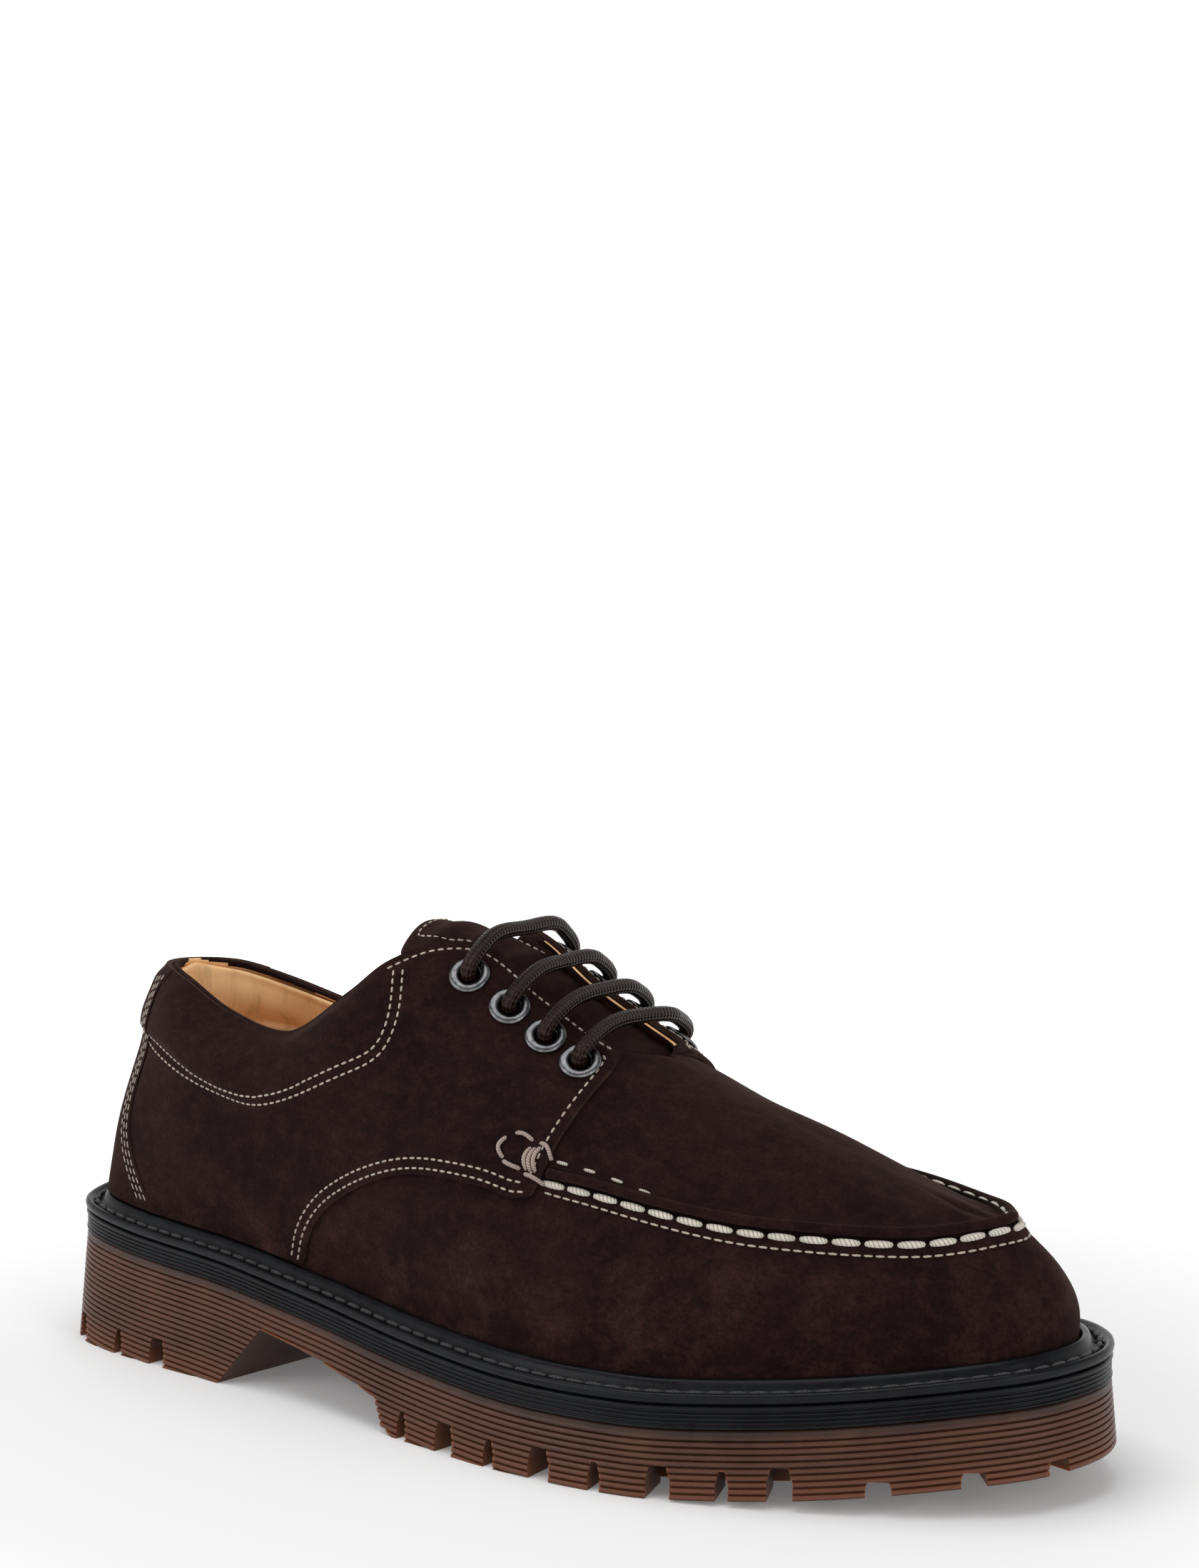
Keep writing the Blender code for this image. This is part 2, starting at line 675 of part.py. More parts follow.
def notch_cutter():
    """All notches between the rim lugs as one cutter."""
    points = []
    faces = []
    for side in ("lateral", "medial"):
        for share, kind in LUG_NOTCHES:
            at = share_of_x(side, share)
            edge = outline_point(side, at)
            inwards = (outline_point(side, at, 0.001) - edge) / 0.001
            inwards /= np.linalg.norm(inwards)
            along = np.array([-inwards[1], inwards[0]])
            foot, head, tall = NOTCH_KINDS[kind]
            rise = tall * LUG_HEIGHT
            base = spring_at(edge[0])
            first = len(points)
            for reach in (-REACH, LUG_REACH):
                middle = edge + inwards * reach
                for width, height in ((foot, -REACH), (foot, NOTCH_WAIST * rise), (head, rise)):
                    for way in (-1, 1):
                        x, y = middle + along * way * width / 2
                        points.append((x, y, base + height))
            a = [first + k for k in range(12)]
            faces += [(a[0], a[2], a[4], a[5], a[3], a[1]), (a[6], a[7], a[9], a[11], a[10], a[8])]
            for k, n in ((0, 2), (2, 4), (4, 5), (5, 3), (3, 1), (1, 0)):
                faces.append((a[k], a[k + 6], a[n + 6], a[n]))
    return add_mesh("lug_notches", points, faces, scene_cutters, smooth=False)


def tread_channel(name, start, end, stations):
    """A closed groove in the tread behind the rim lugs."""
    loop = []
    for side in ("lateral", "medial"):
        steps = np.linspace(share_of_x(side, start), share_of_x(side, end), stations)
        steps = steps if side == "lateral" else steps[::-1]
        loop += [outline_point(side, at, CHANNEL_INSET) for at in steps]
    loop = np.array(loop)
    before = loop - np.roll(loop, 1, axis=0)
    after = np.roll(loop, -1, axis=0) - loop
    before /= np.linalg.norm(before, axis=1)[:, None]
    after /= np.linalg.norm(after, axis=1)[:, None]
    inwards = np.column_stack([-before[:, 1] - after[:, 1], before[:, 0] + after[:, 0]])
    inwards /= 1 + (before * after).sum(axis=1)[:, None]
    points = []
    corners = ((0.0, -REACH), (0.0, TREAD_DEPTH), (CHANNEL_WIDTH, TREAD_DEPTH), (CHANNEL_WIDTH, -REACH))
    for inside, height in corners:
        points += [(x, y, spring_at(x) + height) for x, y in loop + inwards * inside]
    count = len(loop)
    faces = ring_faces(4, count)
    faces += [(3 * count + k, 3 * count + (k + 1) % count, (k + 1) % count, k) for k in range(count)]
    return add_mesh(name, points, faces, scene_cutters, smooth=False)


def cross_grooves():
    """Grooves across the tread field inside the rim lugs."""
    points = []
    faces = []
    for share, lean in CROSS_GROOVES:
        ends = []
        for side, way in (("lateral", 0), ("medial", 1)):
            at = share_of_x(side, share + way * lean)
            ends.append(outline_point(side, at, TREAD_RIM - 0.001))
        first = len(points)
        for end in ends:
            for dx in (-GROOVE_WIDTH / 2, GROOVE_WIDTH / 2):
                for height in (-REACH, GROOVE_DEPTH):
                    points.append((end[0] + dx, end[1], spring_at(end[0]) + height))
        a = [first + k for k in range(8)]
        faces += [(a[0], a[1], a[3], a[2]), (a[4], a[6], a[7], a[5]), (a[0], a[4], a[5], a[1])]
        faces += [(a[2], a[3], a[7], a[6]), (a[1], a[5], a[7], a[3]), (a[0], a[2], a[6], a[4])]
    return add_mesh("cross_grooves", points, faces, scene_cutters, smooth=False)


def ground_cutter():
    """Everything under the tread: flat ground and the toe spring."""
    top = [(-0.6 * LENGTH, 0.0)]
    for share in np.linspace(SPRING_START, 1.0, 9):
        top.append(((share - 0.5) * LENGTH, spring_at((share - 0.5) * LENGTH)))
    top.append((0.6 * LENGTH, TOE_SPRING))
    outline = top + [(0.6 * LENGTH, -BELOW), (-0.6 * LENGTH, -BELOW)]
    return prism("ground", outline, -BALL_WIDTH, BALL_WIDTH, scene_cutters)


def arch_cutter():
    """The hollow under the waist, with the slanted breast of the heel."""
    outline = [((share - 0.5) * LENGTH, high * HEEL_HEIGHT) for share, high in ARCH_PROFILE]
    outline = outline + [(outline[-1][0], -REACH), (outline[0][0] - REACH, -REACH)]
    return prism("arch", outline, -BALL_WIDTH, BALL_WIDTH, scene_cutters, shear=ARCH_SHEAR)


def outsole_part(material):
    """The gum outsole with its side ribs, cut to the ground, the arch and the tread."""
    start = BAND + GAP
    rows = [(start, -RIB_DEPTH), (start + TOP_BEVEL, 0.0)]
    depth = start + RIB_START
    deepest = welt_top(-LENGTH / 2) + RIB_PITCH
    while depth < deepest:
        flare = SIDE_FLARE * (depth - start)
        rows += [(depth, flare), (depth + RIB_PITCH / 2, flare - RIB_DEPTH)]
        depth += RIB_PITCH
    outsole = side_plate("outsole", rows, material)
    cut(outsole, ground_cutter())
    cut(outsole, arch_cutter())
    for name, start, end, stations in CHANNELS:
        cut(outsole, tread_channel(name, start, end, stations))
    cut(outsole, cross_grooves())
    cut(outsole, notch_cutter())
    return outsole


def midsole_part(material):
    """The dark band with its three ribs."""
    top = WELT_THICKNESS + GAP
    rows = [(top, -RIB_DEPTH)]
    for k in range(MIDSOLE_RIBS):
        here = top + RIB_DEPTH + k * MIDSOLE_RIB_PITCH
        rows += [(here, 0.0), (here + MIDSOLE_RIB_PITCH / 2, -RIB_DEPTH)]
    rows += [(top + (MIDSOLE_RIBS + 0.5) * MIDSOLE_RIB_PITCH, 0.0002), (BAND, 0.0003)]
    return side_plate("midsole", rows, material)


def welt_part(material):
    """The welt: a ledge for the stitches and a raised bead against the upper."""
    inner = WELT_LEDGE + BEAD_WIDTH
    section_rows = (
        (WELT_THICKNESS, 0.0),
        (WELT_ROUND, GAP),
        (0.0, -WELT_ROUND),
        (0.0, -WELT_LEDGE),
        (-BEAD_HEIGHT, -WELT_LEDGE - 0.3 * BEAD_WIDTH),
        (-BEAD_HEIGHT, -WELT_LEDGE - 0.75 * BEAD_WIDTH),
        (-BEAD_STEP, -inner),
        (WELT_THICKNESS, -inner),
    )
    count = RING_COUNT
    points = outline_rows(section_rows)
    faces = ring_faces(len(section_rows), count)
    last = (len(section_rows) - 1) * count
    faces += [(last + k, last + (k + 1) % count, (k + 1) % count, k) for k in range(count)]
    return add_mesh("welt", points, faces, scene_parts, material)


def insole_part(material):
    """The footbed inside the upper."""
    edge = FEATHER_INSET + WALL + 3 * GAP
    base = WELT_THICKNESS - GAP
    rows = ((base - INSOLE_THICKNESS, -edge - 2 * GAP), (base, -edge))
    return side_plate("insole", rows, material)


def rows_at(side, at):
    """The v rows of one section, with a row each side of the seam."""
    below, above = seam_span(side, at)
    low = 1 - MOC_RIDGE_WIDTH * 0.6 / below
    high = 1 + min(MOC_RIDGE_WIDTH * 0.6 / above, 0.3)
    wall = [v * low / WALL_ROWS[-1] * 0.92 for v in WALL_ROWS[:-1]] + [low]
    return wall + [1.0, high] + [high + (2 - high) * t for t in CROWN_ROWS]


def split(quad, here, there, half):
    """Two triangles from a quad and two from its inner copy, split alike on every layer of the upper."""
    a, b, c, d = quad
    if here[0] == "medial" or there[0] == "medial" and here[1] > there[1]:
        pair = [(a, b, d), (b, c, d)]
    else:
        pair = [(a, b, c), (a, c, d)]
    return pair + [tuple(half + k for k in reversed(face)) for face in pair]


def upper_part(material):
    """The upper as one wall: outer face, inner face and the edges between them."""
    columns = [("lateral", at) for at in STATIONS]
    columns += [("medial", at) for at in reversed(STATIONS[1:-1])]
    rows = len(rows_at("lateral", 0.5))
    points = []
    for face in ("outer", "inner"):
        for side, at in columns:
            for v in rows_at(side, at):
                extra = ridge(side, at, v) if face == "outer" else -WALL
                points.append(leather_point(side, at, v, extra))
    count = len(columns)
    half = count * rows
    faces = []
    for c in range(count):
        n = (c + 1) % count
        for r in range(rows - 1):
            quad = (c * rows + r, n * rows + r, n * rows + r + 1, c * rows + r + 1)
            faces += split(quad, columns[c], columns[n], half)
        faces.append((c * rows, half + c * rows, half + n * rows, n * rows))
        top = (c * rows + rows - 1, n * rows + rows - 1)
        slot = columns[c][1] <= SLOT_END + 1e-9 and columns[n][1] <= SLOT_END + 1e-9
        if slot:
            faces.append((top[0], top[1], half + top[1], half + top[0]))
    return add_mesh("upper", points, faces, scene_parts, material)


def shell(name, near, far, material, places=None):
    """A sheet between two grids of points, closed round its edges. places: each column's side and share."""
    columns, rows = len(near), len(near[0])
    places = places or [("lateral", k) for k in range(columns)]
    points = [p for grid in (near, far) for column in grid for p in column]
    half = columns * rows
    faces = []
    for c in range(columns - 1):
        n = c + 1
        for r in range(rows - 1):
            quad = (c * rows + r, n * rows + r, n * rows + r + 1, c * rows + r + 1)
            faces += split(quad, places[c], places[n], half)
        for r in (0, rows - 1):
            faces.append((c * rows + r, n * rows + r, half + n * rows + r, half + c * rows + r))
    for c in (0, columns - 1):
        for r in range(rows - 1):
            k = c * rows + r
            faces.append((k, k + 1, half + k + 1, half + k))
    return add_mesh(name, points, faces, scene_parts, material)


def overlay(name, columns, thickness, material):
    """A leather panel lying on the upper along the given columns."""
    grids = []
    for out in (GAP, GAP + thickness):
        grid = []
        for side, at in columns:
            grid.append([leather_point(side, at, v, ridge(side, at, v) + out) for v in rows_at(side, at)])
        grids.append(grid)
    return shell(name, *grids, material, columns)


def height_above_bead(x, share):
    """A height above the welt, kept clear of its bead."""
    return welt_top(x) + max(share * INSTEP_RISE, BEAD_HEIGHT + 2 * GAP)


def side_line(table, shift=0.0, lean=0.0):
    """A table of shares as (x, z) points, moved along and leaned forward with height."""
    line = []
    for share, high in table:
        x = (share + lean * high - 0.5) * LENGTH + shift
        line.append((x, height_above_bead(x, high)))
    return line


def along_welt(start, end, count):
    """Points just above the welt's bead from one x to another."""
    return [(x, height_above_bead(x, 0.0)) for x in np.linspace(start, end, count)]


def quarter_part(side, holes, material):
    """A quarter with its facing, cut to its side view and pierced for the eyelets."""
    low, high = (-BALL_WIDTH, 0.0) if side == "lateral" else (0.0, BALL_WIDTH)
    columns = [(side, at) for at in STATIONS if 0.04 < at < 0.66]
    if side == "medial":
        columns.reverse()
    quarter = overlay("quarter_" + side, columns, PANEL, material)
    cut(quarter, holes)
    wing = side_line(WING_EDGE)
    facing = side_line(FACING_EDGE, lean=0.0 if side == "lateral" else MEDIAL_LEAN)
    back = side_line(BACKSTAY_EDGE, shift=GAP)
    outline = wing + facing + [(facing[-1][0], ABOVE), (back[-1][0], ABOVE)] + back[::-1]
    outline += along_welt(back[0][0] + 0.01, wing[0][0] - 0.01, 4)
    cut(quarter, prism("side_view_" + side, outline, low, high, scene_cutters), "INTERSECT")
    return quarter


def backstay_part(material):
    """The strap round the heel."""
    near = [at for at in STATIONS if at < 0.20]
    columns = [("medial", at) for at in reversed(near[1:])] + [("lateral", at) for at in near]
    backstay = overlay("backstay", columns, BACKSTAY_PANEL, material)
    edge = side_line(BACKSTAY_EDGE)
    behind = -0.6 * LENGTH
    outline = edge + [(edge[-1][0], ABOVE), (behind, ABOVE)] + along_welt(behind, edge[0][0] - 0.01, 4)
    cut(backstay, prism("side_view_back", outline, -BALL_WIDTH, BALL_WIDTH, scene_cutters), "INTERSECT")
    return backstay


def lining_part(material):
    """The padded roll inside the collar."""
    near = [at for at in STATIONS if at <= 0.386]
    columns = [("medial", at) for at in reversed(near[1:])] + [("lateral", at) for at in near]
    grids = []
    for face in (0, 1):
        grid = []
        for side, at in columns:
            above = seam_span(side, at)[1]
            rows = rows_at(side, at)[2:-1] + [2 - COLLAR_EDGE / above]
            column = []
            for k, v in enumerate(rows):
                puff = math.sin(math.pi * (k + 0.4) / (len(rows) - 0.4))
                pad = LINING_EDGE + COLLAR_PAD * puff * (1 - fade(at, *LINING_FADE))
                column.append(leather_point(side, at, v, -WALL - 3 * GAP - face * pad))
            grid.append(column)
        grids.append(grid)
    return shell("collar_lining", *grids, material, columns)


def tongue_part(material):
    """The tongue: under the facings up to the throat's top, then on past them."""
    stations = [at for at in STATIONS if THROAT_TOP <= at < 0.66][::-1]
    grids = []
    for depth in (0.0, TONGUE_THICKNESS):
        grid = []
        for at in stations:
            column = []
            for side in ("lateral", "medial"):
                above = seam_span(side, at)[1]
                ways = TONGUE_UNDERLAP if side == "lateral" else TONGUE_UNDERLAP[::-1]
                inside = -WALL - 5 * GAP - depth
                column += [leather_point(side, at, 2 - away / above, inside) for away in ways]
            middle = (column[2] + column[3]) / 2 + np.array([0.0, 0.0, TONGUE_CROWN])
            grid.append(column[:3] + [middle] + column[3:])
        start = grid[-1][3]
        for forward, up, half_width, sag in TONGUE_TOP:
            centre = start + np.array([-forward, 0.0, up])
            column = []
            for across in (-1.0, -0.67, -0.33, 0.0, 0.33, 0.67, 1.0):
                column.append(centre + np.array([0.0, across * half_width * BALL_WIDTH, -sag * across**2]))
            grid.append(column)
        grids.append(grid)
    return shell("tongue", *grids, material)


def eyelet_frame(side, number):
    """Centre of an eyelet on the facing's outer face and its outward direction."""
    at = EYELET_STATIONS[number]
    v = 2 - EYELET_EDGE / seam_span(side, at)[1]
    return leather_point(side, at, v, GAP + PANEL), surface_normal(side, at, v)


def turned(points, centre, axis):
    """Points about +Z moved to a centre with +Z along the axis."""
    matrix = Vector(axis).to_track_quat("Z", "Y").to_matrix()
    return [np.array(matrix @ Vector(p)) + centre for p in points]


def spin(profile, centre, axis, segments):
    """Points and faces of a closed profile of (radius, height) turned round the axis."""
    points = []
    for k in range(segments):
        angle = 2 * math.pi * k / segments
        points += [(r * math.cos(angle), r * math.sin(angle), z) for r, z in profile]
    rows = len(profile)
    faces = []
    for k in range(segments):
        n = (k + 1) % segments
        for r in range(rows):
            m = (r + 1) % rows
            faces.append((k * rows + r, n * rows + r, n * rows + m, k * rows + m))
    return turned(points, centre, axis), faces


def eyelet_part(side, number, material):
    """A flanged ring through the facing."""
    centre, axis = eyelet_frame(side, number)
    bore = EYELET_BORE / 2
    barrel = bore + EYELET_WALL
    rim = EYELET_FLANGE / 2
    top = GAP + EYELET_LIP
    low = GAP + 0.6 * EYELET_LIP
    profile = [(bore, -EYELET_DEPTH), (bore, low), (bore + EYELET_ROUND, top), (rim - EYELET_ROUND, low)]
    profile += [(rim, GAP), (barrel, GAP), (barrel, -EYELET_DEPTH)]
    points, faces = spin(profile, centre, axis, EYELET_SEGMENTS)
    return add_mesh(f"eyelet_{side}_{number + 1}", points, faces, scene_parts, material)


def eyelet_holes(side):
    """Cutters for the eyelets of one side."""
    points = []
    faces = []
    for number in range(EYELET_COUNT):
        centre, axis = eyelet_frame(side, number)
        radius = EYELET_BORE / 2 + EYELET_WALL + GAP
        first = len(points)
        turns = np.linspace(0, 2 * math.pi, EYELET_SEGMENTS, endpoint=False)
        disc = [(radius * math.cos(turn), radius * math.sin(turn)) for turn in turns]
        points += turned([(x, y, z) for z in (-REACH, REACH) for x, y in disc], centre, axis)
        ring = list(range(first, first + EYELET_SEGMENTS))
        faces += [tuple(ring[::-1]), tuple(k + EYELET_SEGMENTS for k in ring)]
        for k in range(EYELET_SEGMENTS):
            n = (k + 1) % EYELET_SEGMENTS
            faces.append((ring[k], ring[n], ring[n] + EYELET_SEGMENTS, ring[k] + EYELET_SEGMENTS))
    return add_mesh("eyelet_holes_" + side, points, faces, scene_cutters, smooth=False)


def lace_knots():
    """The lace's way: four bars, the runs under the facings between them and the hidden end."""
    radius = LACE_DIAMETER / 2
    knots = []
    under = -(WALL + PANEL + GAP + radius + LACE_CLEARANCE)
    over = radius + GAP + EYELET_LIP + LACE_CLEARANCE
    for number in range(EYELET_COUNT):
        way = ("lateral", "medial") if number % 2 == 0 else ("medial", "lateral")
        ends = [eyelet_frame(side, number) for side in way]
        centre, axis = ends[0]
        knots += [centre + axis * under, centre - axis * PANEL, centre + axis * over * 0.7]
        bar = []
        at = EYELET_STATIONS[number]
        for side in way:
            above = seam_span(side, at)[1]
            line = [leather_point(side, at, 2 - away / above, GAP + PANEL + over) for away in LACE_REST]
            bar += line if side == way[0] else line[::-1]
        bar.insert(3, (bar[2] + bar[3]) / 2 + np.array([0.0, 0.0, LACE_ARCH]))
        knots += bar
        centre, axis = ends[1]
        knots += [centre + axis * over * 0.7, centre - axis * PANEL, centre + axis * under]
    last = EYELET_STATIONS[-1]
    for at in (last - 0.012, last - 0.05, EYELET_STATIONS[0] + 0.015):
        above = seam_span("lateral", at)[1]
        v = 2 - (EYELET_EDGE + LACE_ASIDE) / above
        knots.append(leather_point("lateral", at, v, -(WALL + radius + LACE_CLEARANCE)))
    return np.array(knots)


def lace_part(material):
    """One round cord through all eyelets."""
    knots = lace_knots()
    reach = lengths_along(knots)
    way = natural_spline(reach, knots)
    fine = np.array([way(d) for d in np.linspace(0, reach[-1], 8 * LACE_POINTS)])
    spread = lengths_along(fine)
    places = np.linspace(0, spread[-1], LACE_POINTS)
    path = [[np.interp(d, spread, fine[:, k]) for k in range(3)] for d in places]
    curve = bpy.data.curves.new("lace", "CURVE")
    curve.dimensions = "3D"
    curve.bevel_depth = LACE_DIAMETER / 2
    curve.bevel_resolution = 1
    curve.use_fill_caps = True
    line = curve.splines.new("POLY")
    line.points.add(len(path) - 1)
    for point, place in zip(line.points, path):
        point.co = (*place, 1.0)
    line.use_smooth = True
    curve.materials.append(material)
    lace = bpy.data.objects.new("lace", curve)
    scene_parts.objects.link(lace)
    return lace


def build_shoe():
    """Makes every part of the shoe."""
    suede = make_material("suede", (0.022, 0.012, 0.010), 0.9)
    gum = make_material("gum", (0.105, 0.042, 0.025), 0.45)
    black = make_material("welt", (0.012, 0.013, 0.016), 0.4)
    lining = make_material("lining", (0.62, 0.36, 0.17), 0.7)
    metal = make_material("eyelet", (0.16, 0.155, 0.15), 0.35, 1.0)
    cord = make_material("lace", (0.03, 0.015, 0.011), 0.35)
    outsole_part(gum)
    midsole_part(black)
    welt_part(black)
    insole_part(lining)
    upper = upper_part(suede)
    backstay_part(suede)
    lining_part(lining)
    tongue_part(suede)
    for side in ("lateral", "medial"):
        holes = eyelet_holes(side)
        cut(upper, holes)
        quarter_part(side, holes, suede)
        for number in range(EYELET_COUNT):
            eyelet_part(side, number, metal)
    lace_part(cord)


scene_parts, scene_cutters = clear_scene()
build_shoe()
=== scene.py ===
"""Moc toe derby shoe, right foot: suede upper, stitched welt, ribbed rubber sole and waxed lace."""

import math

import bmesh
import bpy
import numpy as np
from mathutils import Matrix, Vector
from mathutils.bvhtree import BVHTree


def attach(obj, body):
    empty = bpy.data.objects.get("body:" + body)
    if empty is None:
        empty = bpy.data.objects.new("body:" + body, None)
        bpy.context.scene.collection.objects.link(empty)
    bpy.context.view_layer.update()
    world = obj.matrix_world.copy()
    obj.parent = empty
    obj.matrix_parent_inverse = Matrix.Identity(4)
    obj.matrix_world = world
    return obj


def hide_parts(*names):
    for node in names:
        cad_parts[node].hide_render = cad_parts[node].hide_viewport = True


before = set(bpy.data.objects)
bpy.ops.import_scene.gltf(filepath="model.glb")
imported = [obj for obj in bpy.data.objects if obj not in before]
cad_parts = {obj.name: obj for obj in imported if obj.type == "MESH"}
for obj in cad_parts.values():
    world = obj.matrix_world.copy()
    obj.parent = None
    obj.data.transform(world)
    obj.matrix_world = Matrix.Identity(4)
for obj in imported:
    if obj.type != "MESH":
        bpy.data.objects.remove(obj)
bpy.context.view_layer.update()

# Driving sizes, in metres like every length here
LENGTH = 0.3145
BALL_WIDTH = 0.116
HEEL_HEIGHT = 0.0370
SOLE_HEIGHT = 0.0254
TOE_SPRING = 0.0095
INSTEP_RISE = 0.093
COLLAR_RISE = 0.071
TOE_RISE = 0.0292

# Sole
WELT_THICKNESS = 0.0024
MIDSOLE_THICKNESS = 0.0059
SIDE_FLARE = 0.085
RIB_PITCH = 0.00157
RIB_DEPTH = 0.0007
LUG_HEIGHT = 0.0078
LUG_REACH = 0.012
TREAD_DEPTH = 0.005
TREAD_RIM = 0.0165
WELT_LEDGE = 0.0052
BEAD_WIDTH = 0.0024
BEAD_HEIGHT = 0.0022
RIB_START = 0.0014
RING_STEPS = 200
WELT_STEPS = 320
THREAD_INSET = 0.0029
THREAD_DEPTH = 0.0004
NOTCH_WAIST = 0.55
CHANNEL_WIDTH = 0.004
CHANNEL_OVERLAP = 0.005
GROOVE_WIDTH = 0.004
GROOVE_OVERLAP = 0.001
GROOVE_SHARE = 0.8

# Upper and its overlays
WALL = 0.0018
PANEL = 0.0013
BACKSTAY_PANEL = 0.0017
COLLAR_STEP = 0.0017
COLLAR_PUFF = 0.0026
COLLAR_PAD = 0.0045
BEAD_SHARE = 0.1
BULGE_START = 0.16
MOC_LIFT = 0.0009
MOC_RIDGE_WIDTH = 0.0036
TONGUE_THICKNESS = 0.0026
TONGUE_UNDERLAP = (0.0078, 0.0044, 0.0008)
TONGUE_CROWN = 0.0012
LINING_EDGE = 0.0008
MEDIAL_LEAN = 0.028

# Eyelets and lace
LACE_DIAMETER = 0.0042
EYELET_BORE = 0.0056
EYELET_WALL = 0.0004
EYELET_FLANGE = 0.0112
EYELET_LIP = 0.0009
EYELET_COUNT = 4
EYELET_DEPTH = 0.0042
EYELET_EDGE = 0.0128
EYELET_STATIONS = (0.452, 0.486, 0.519, 0.551)
LACE_CLEARANCE = 0.0008
LACE_ARCH = 0.0012
LACE_ASIDE = 0.0062

# Places round the upper as shares of each side's outline, and the gap between touching pieces
GAP = 0.0003
SLOT_END = 0.60
THROAT_TOP = 0.45
COLLAR_END = 0.375
MOC_START = 0.555
MOC_FULL = 0.60
MOC_ROW_START = 0.570
ROLL_START = 0.566
QUARTER_START = 0.035
QUARTER_END = 0.655
STRAP_END = 0.2
PAD_END = 0.385

# How far cutters and sight lines reach past the shoe, REACH as a share of LENGTH from its middle.
# STEP_IN is the step inwards that finds the outline's directions
REACH = 0.6
CLEAR = 0.2
BELOW = 0.05
PAST_EDGE = 0.006
PAST_TREAD = 0.004
MARGIN = 0.01
STEP_IN = 0.001

# Relief of the moc seam: height, distance from the seam towards the vamp, half width
MOC_RELIEF = (
    (0.0004, -0.0004, 0.0016),
    (-0.0009, 0.0016, 0.0006),
    (0.0017, 0.0030, 0.0010),
    (-0.0005, -0.0024, 0.0006),
    (0.0006, 0.0050, 0.0022),
)
CREASE_HEIGHT = 0.00022
FINE_CREASE_HEIGHT = 0.00012

# The lining's upper edge: depth below the rim, how much higher it is across the heel, and how much
# lower on the inner side and in the throat. Then the stretch of the heel where it wraps the rim, the
# pad's foot as a share of the wall's height, and the heights of its folds and the tongue's
LINING_DEPTH = 0.0009
LINING_HEEL_RISE = 0.0014
LINING_INNER_DROP = 0.0021
LINING_THROAT_DROP = 0.022
WRAP_SPAN = (0.28 * LENGTH, 0.33 * LENGTH)
PAD_FOOT = 0.93
PAD_CREASE = 0.00035
PAD_WRINKLE = 0.00022
TONGUE_RIPPLE = 0.00035

# Distances of the stitch rows from the edges that they follow, some with the points left out at one end
COLLAR_ROW_GAP = 0.0027
WING_ROWS = ((0.0016, 2), (0.0042, 3))
FACING_ROW = 0.0025
TOP_ROW = 0.0035
STRAP_ROWS = ((0.0014, 2), (0.0031, 3), (0.0048, 4))
APRON_ROW = -0.0020
# Ways round of the rows along the throat and along the collar
TOP_SPANS = ((THROAT_TOP + 0.005, 0.560), (0.395, THROAT_TOP - 0.004))

# Stitches of each row: spacing, length, width and height
PANEL_STITCH = (0.0024, 0.00165, 0.00060, 0.0006)
STRAP_STITCH = (0.0027, 0.0020, 0.00042, 0.00045)
APRON_STITCH = (0.0028, 0.0022, 0.00060, 0.0006)
MOC_STITCH = (0.0077, 0.0070, 0.0019, 0.0019)
RETURN_STITCH = (0.0077, 0.0036, 0.0011, 0.0010)
LONG_RETURN_STITCH = (0.0064, 0.0057, 0.0016, 0.0017)
WELT_STITCH = (0.0052, 0.0044, 0.0013, 0.0013)

# Cords: radius, length of one turn of the twist, points along, points round
LACE_CORD = (LACE_DIAMETER / 2, 1.0, 900, 18)
CORNER_CORD = (0.00056, 0.004, 14, 8)
THROAT_CORD = (0.0007, 1.0, 60, 8)
ROLL_CORD = (0.0013, 1.0, 520, 12)
FOLD_CORD = (0.00055, 0.004, 520, 6)
# The rolled edge and the folds beside it: distance from the moc seam, height off the leather
ROLL_PLACE = (0.0025, 0.0009)
FOLD_PLACES = ((0.0012, 0.0001), (0.0039, 0.0001))

# Tones: dark, light and worn for a leather, but dark, light and painted wrinkle shade for the lining; dark
# and light for a rubber, a thread or a cord
SUEDE = ((0.0070, 0.0028, 0.0030), (0.0140, 0.0055, 0.0053), (0.042, 0.0185, 0.0150))
RAW_EDGE = ((0.022, 0.0115, 0.009), (0.040, 0.021, 0.016), (0.075, 0.042, 0.032))
# Painted shade: near-black suede for the fold cords beside the moc seam's rolled edge
FOLD_SHADE = ((0.0018, 0.0008, 0.0008), (0.0032, 0.0014, 0.0013), (0.0045, 0.0020, 0.0018))
LINING = ((0.80, 0.43, 0.175), (0.96, 0.62, 0.310), (0.36, 0.17, 0.065))
WELT_RUBBER = ((0.0024, 0.0027, 0.0038), (0.0062, 0.0070, 0.0090))
GUM = ((0.056, 0.0215, 0.0120), (0.108, 0.041, 0.0215))
GUM_UNDER_BAND = (0.007, 0.0052, 0.0052)
# Painted glow: a lighter orange painted on the gum near the ground, standing in for light coming through it
GUM_PAINTED_GLOW = (0.160, 0.054, 0.022)
# Painted shade on the gum's faces turned downwards, under the arch and on the heel's breast
GUM_UNDERSIDE_SHADE = (0.016, 0.0062, 0.0038)
METAL = ((0.070, 0.072, 0.076), (0.26, 0.26, 0.265))
# The waxed cord's light tone is a painted highlight on the plaits' crests, its dark tone painted shade
# between them
WAXED_CORD = ((0.0022, 0.0010, 0.0010), (0.019, 0.0085, 0.0070))
